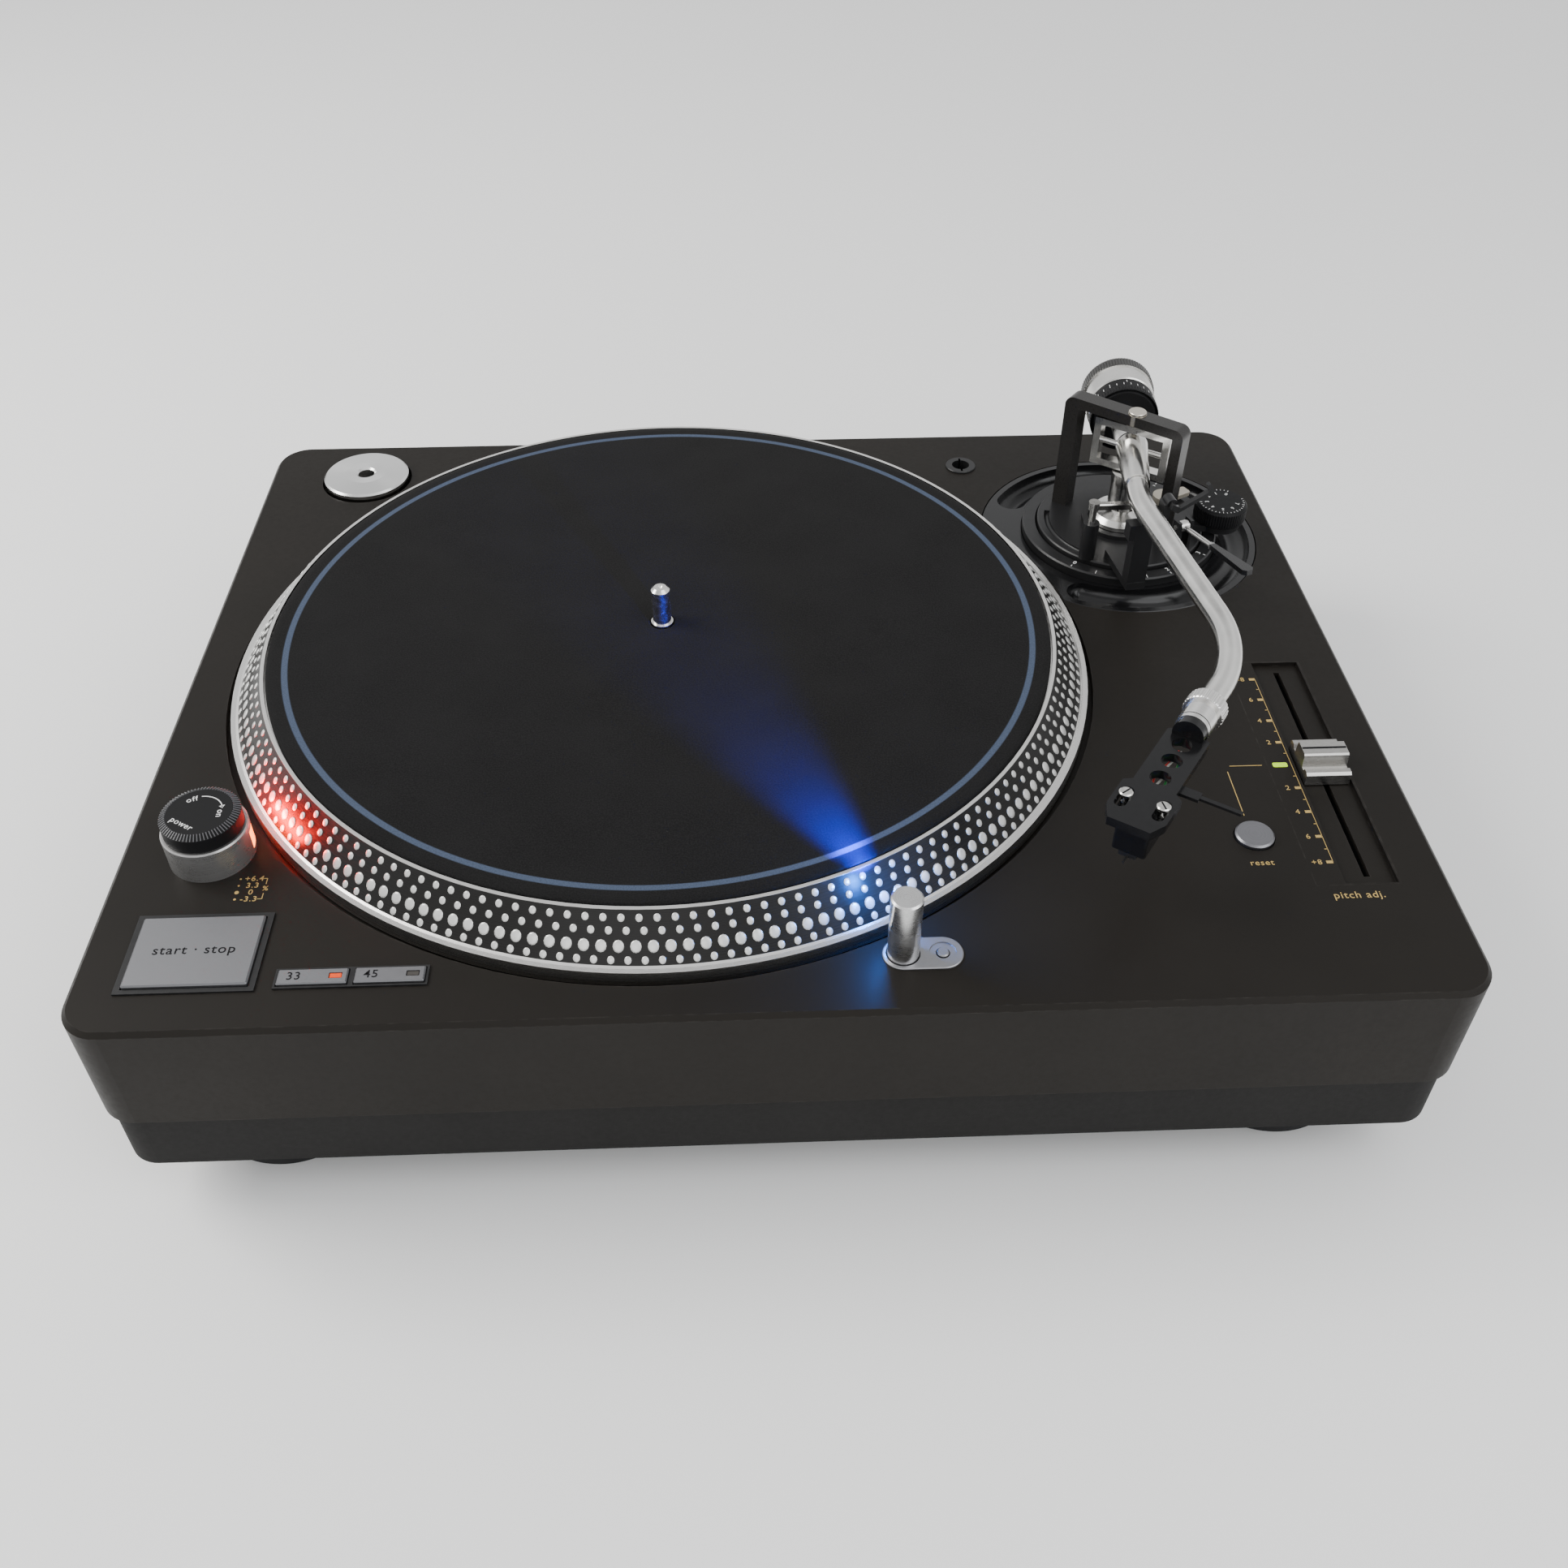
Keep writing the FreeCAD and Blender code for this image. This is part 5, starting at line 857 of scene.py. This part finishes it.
def screw_slots(dark):
    """Painted shade for the slots in the heads of the headshell's screws: flat dark bars on the plain heads,
    where a slot would be dark with shade.
    """
    draft = Draft(on_top((0, 0), top_of("headshell_screws")))
    screws_at = SHELL_HOLE + SHELL_WAY * 32.2 * MM
    for offset, angle in ((-6.4, 35), (6.4, 100)):
        middle = screws_at + SHELL_SIDE * offset * MM
        half = heading(angle) * 1.8 * MM
        # Each dark bar is painted shade standing in for a slot; the head itself has no cut.
        draft.bar(middle.xy - half, middle.xy + half, 0.55 * MM, high=0.03 * MM)
    draft.piece("headshell_screw_slots", "headshell", dark)


def lead_wires():
    """Four thin leads under the headshell, from the plug's pins to the cartridge's."""
    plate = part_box("headshell")[0].z
    start, end = -3.0 * MM, 24.6 * MM
    leads = (("red", (0.65, 0.03, 0.02), -3.0, 1.3), ("white", (0.75, 0.73, 0.68), -1.0, -1.5),
             ("green", (0.03, 0.38, 0.08), 1.0, 1.3), ("blue", (0.03, 0.10, 0.55), 3.0, -1.5))
    for name, colour, offset, swing in leads:
        curve = bpy.data.curves.new(f"lead_wire_{name}", "CURVE")
        curve.dimensions = "3D"
        curve.bevel_depth, curve.bevel_resolution, curve.use_fill_caps = 0.42 * MM, 3, True
        stations = ((start, 0.5 * offset, -1.4), (2 * MM, 0.6 * offset, -1.2),      # along, across, drop
                    (7 * MM, offset + swing, -0.7), (13 * MM, offset - swing, -0.8),
                    (19 * MM, offset + swing, -1.4), (end, offset, -3.0))
        spline = curve.splines.new("NURBS")
        spline.points.add(len(stations) - 1)
        for point, (along, across, drop) in zip(spline.points, stations):
            spot = SHELL_HOLE + SHELL_WAY * along + SHELL_SIDE * across * MM
            point.co = (spot.x, spot.y, plate + drop * MM, 1.0)
        spline.order_u, spline.use_endpoint_u = 4, True
        mesh = mesh_of(curve)
        mesh.name = f"lead_wire_{name}"
        settle(mesh.name, mesh, "headshell", painted(f"lead_{name}", colour, 0.4))


# ---------------------------------------------------------------- lights, floor and camera
def aim(thing, way):
    """Point a light or the camera along a direction."""
    thing.rotation_mode = "QUATERNION"
    thing.rotation_quaternion = way.to_track_quat("-Z", "Y")


def glow_lights():
    """The target light's blue beam over the slipmat, and the strobe's red light on the slope."""
    lens = centre_of("target_lens")
    inwards = level_way(lens, SPINDLE)
    data = bpy.data.lights.new("target_beam", "SPOT")
    data.color, data.energy = (0.0, 0.03, 1.0), 8.0
    data.spot_size, data.spot_blend, data.shadow_soft_size = math.radians(34), 1.0, 3 * MM
    beam = show("target_beam", data)
    beam.location = lens + inwards * 5.4 * MM + UP * 4.0 * MM
    aim(beam, inwards - UP * 0.16)
    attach(beam, "target_lamp")

    data = bpy.data.lights.new("target_spill", "POINT")
    data.color, data.energy, data.shadow_soft_size = (0.02, 0.22, 1.0), 0.10, 2 * MM
    spill = show("target_spill", data)
    spill.location = lens + inwards * 6.5 * MM
    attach(spill, "target_lamp")

    data = bpy.data.lights.new("strobe_glow", "AREA")
    data.color, data.energy, data.shape = (1.0, 0.0, 0.0), 0.085, "RECTANGLE"
    data.size, data.size_y = 26 * MM, 4 * MM
    glow = show("strobe_glow", data)
    inwards = level_way(POD, SPINDLE)
    glow.location = Vector((POD.x, POD.y, centre_of("strobe_window").z + 2 * MM)) + inwards * 15.2 * MM
    aim(glow, inwards + UP * 0.25)
    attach(glow, "chassis")


def pale_world():
    """A pale room whose tone changes with height, so that level faces mirror a darker band."""
    world = bpy.data.worlds.new("pale_room")
    bpy.context.scene.world = world
    world.use_nodes = True
    tree = world.node_tree
    sky = tree.nodes["Background"]
    sky.inputs["Strength"].default_value = 1.15
    ways = tree.nodes.new("ShaderNodeTexCoord")
    split = tree.nodes.new("ShaderNodeSeparateXYZ")
    tones = tree.nodes.new("ShaderNodeValToRGB")
    tree.links.new(ways.outputs["Generated"], split.inputs[0])
    tree.links.new(split.outputs["Z"], tones.inputs[0])
    tree.links.new(tones.outputs[0], sky.inputs["Color"])
    stops = ((0.0, 0.80), (0.30, 0.85), (0.52, 1.0), (0.66, 0.55),       # height of the direction, tone
             (0.78, 0.60), (0.88, 1.0), (1.0, 0.85))
    while len(tones.color_ramp.elements) < len(stops):
        tones.color_ramp.elements.new(0.5)
    for element, (height, tone) in zip(tones.color_ramp.elements, stops):
        element.position = height
        element.color = (0.985 * tone, 0.99 * tone, tone, 1.0)


def studio():
    """Pale floor, soft key from the left, fill from the right, weak front light, and a pale room."""
    half = 4.0
    mesh = bpy.data.meshes.new("floor")
    corners = [(-half, -half, 0), (half, -half, 0), (half, half, 0), (-half, half, 0)]
    mesh.from_pydata(corners, [], [(0, 1, 2, 3)])
    floor = show("floor", mesh)
    finish = Finish("floor_pale", Roughness=0.6)
    finish.colour(finish.mix(finish.noise(0.5), (0.93, 0.93, 0.925), (0.95, 0.95, 0.945)))
    mesh.materials.append(finish.material)

    target = Vector((0, 0, DECK_TOP))
    for name, place, size, energy, colour in (
            ("key", (-1.2, 0.2, 1.1), 0.8, 22.0, (1.0, 0.985, 0.96)),
            ("fill", (0.9, -0.7, 1.1), 1.1, 10.0, (0.97, 0.985, 1.0)),
            ("front", (-0.3, -1.5, 0.7), 1.0, 3.0, (1.0, 1.0, 1.0))):
        data = bpy.data.lights.new(name, "AREA")
        data.energy, data.size, data.color = energy, size, colour
        light = show(name, data)
        light.location = place
        aim(light, target - Vector(place))
    pale_world()


def camera():
    """From in front and above, a little to the left, near enough for strong perspective."""
    data = bpy.data.cameras.new("camera")
    data.sensor_width, data.lens = 36.0, 34.8
    data.clip_start, data.clip_end = 0.01, 20.0
    place, target = (-0.0125, -0.4745, 0.465), (0.004, -0.045, 0.072)
    eye = show("camera", data)
    eye.location = place
    aim(eye, Vector(target) - Vector(place))
    bpy.context.scene.camera = eye


# ---------------------------------------------------------------- assembly
camera()
studio()
glow_lights()
worn = dress_nodes()
gold_print = painted("gold_print", GOLD, 0.5, Metallic=0.3)
white_print = painted("white_print", WHITE_PRINT, 0.5)
dark_print = painted("dark_print", (0.008, 0.008, 0.009), 0.7, Specular_IOR_Level=0.1)
strobe_dots(painted("dot_silver", (0.72, 0.72, 0.70), 0.32, Metallic=0.55))
felt_slipmat(worn["felt"])
deck_legends(gold_print)
fader_scale(gold_print)
button_words(dark_print)
power_marks(white_print)
# The ribs' mid grey on the black knob is a painted highlight along their crests.
power_flutes(painted("flute_painted_highlight", (0.10, 0.10, 0.105), 0.35))
height_scale(white_print)
skate_scale(white_print)
force_scale(white_print)
knurls(worn)
fader_line(dark_print)
screw_slots(dark_print)
lead_wires()
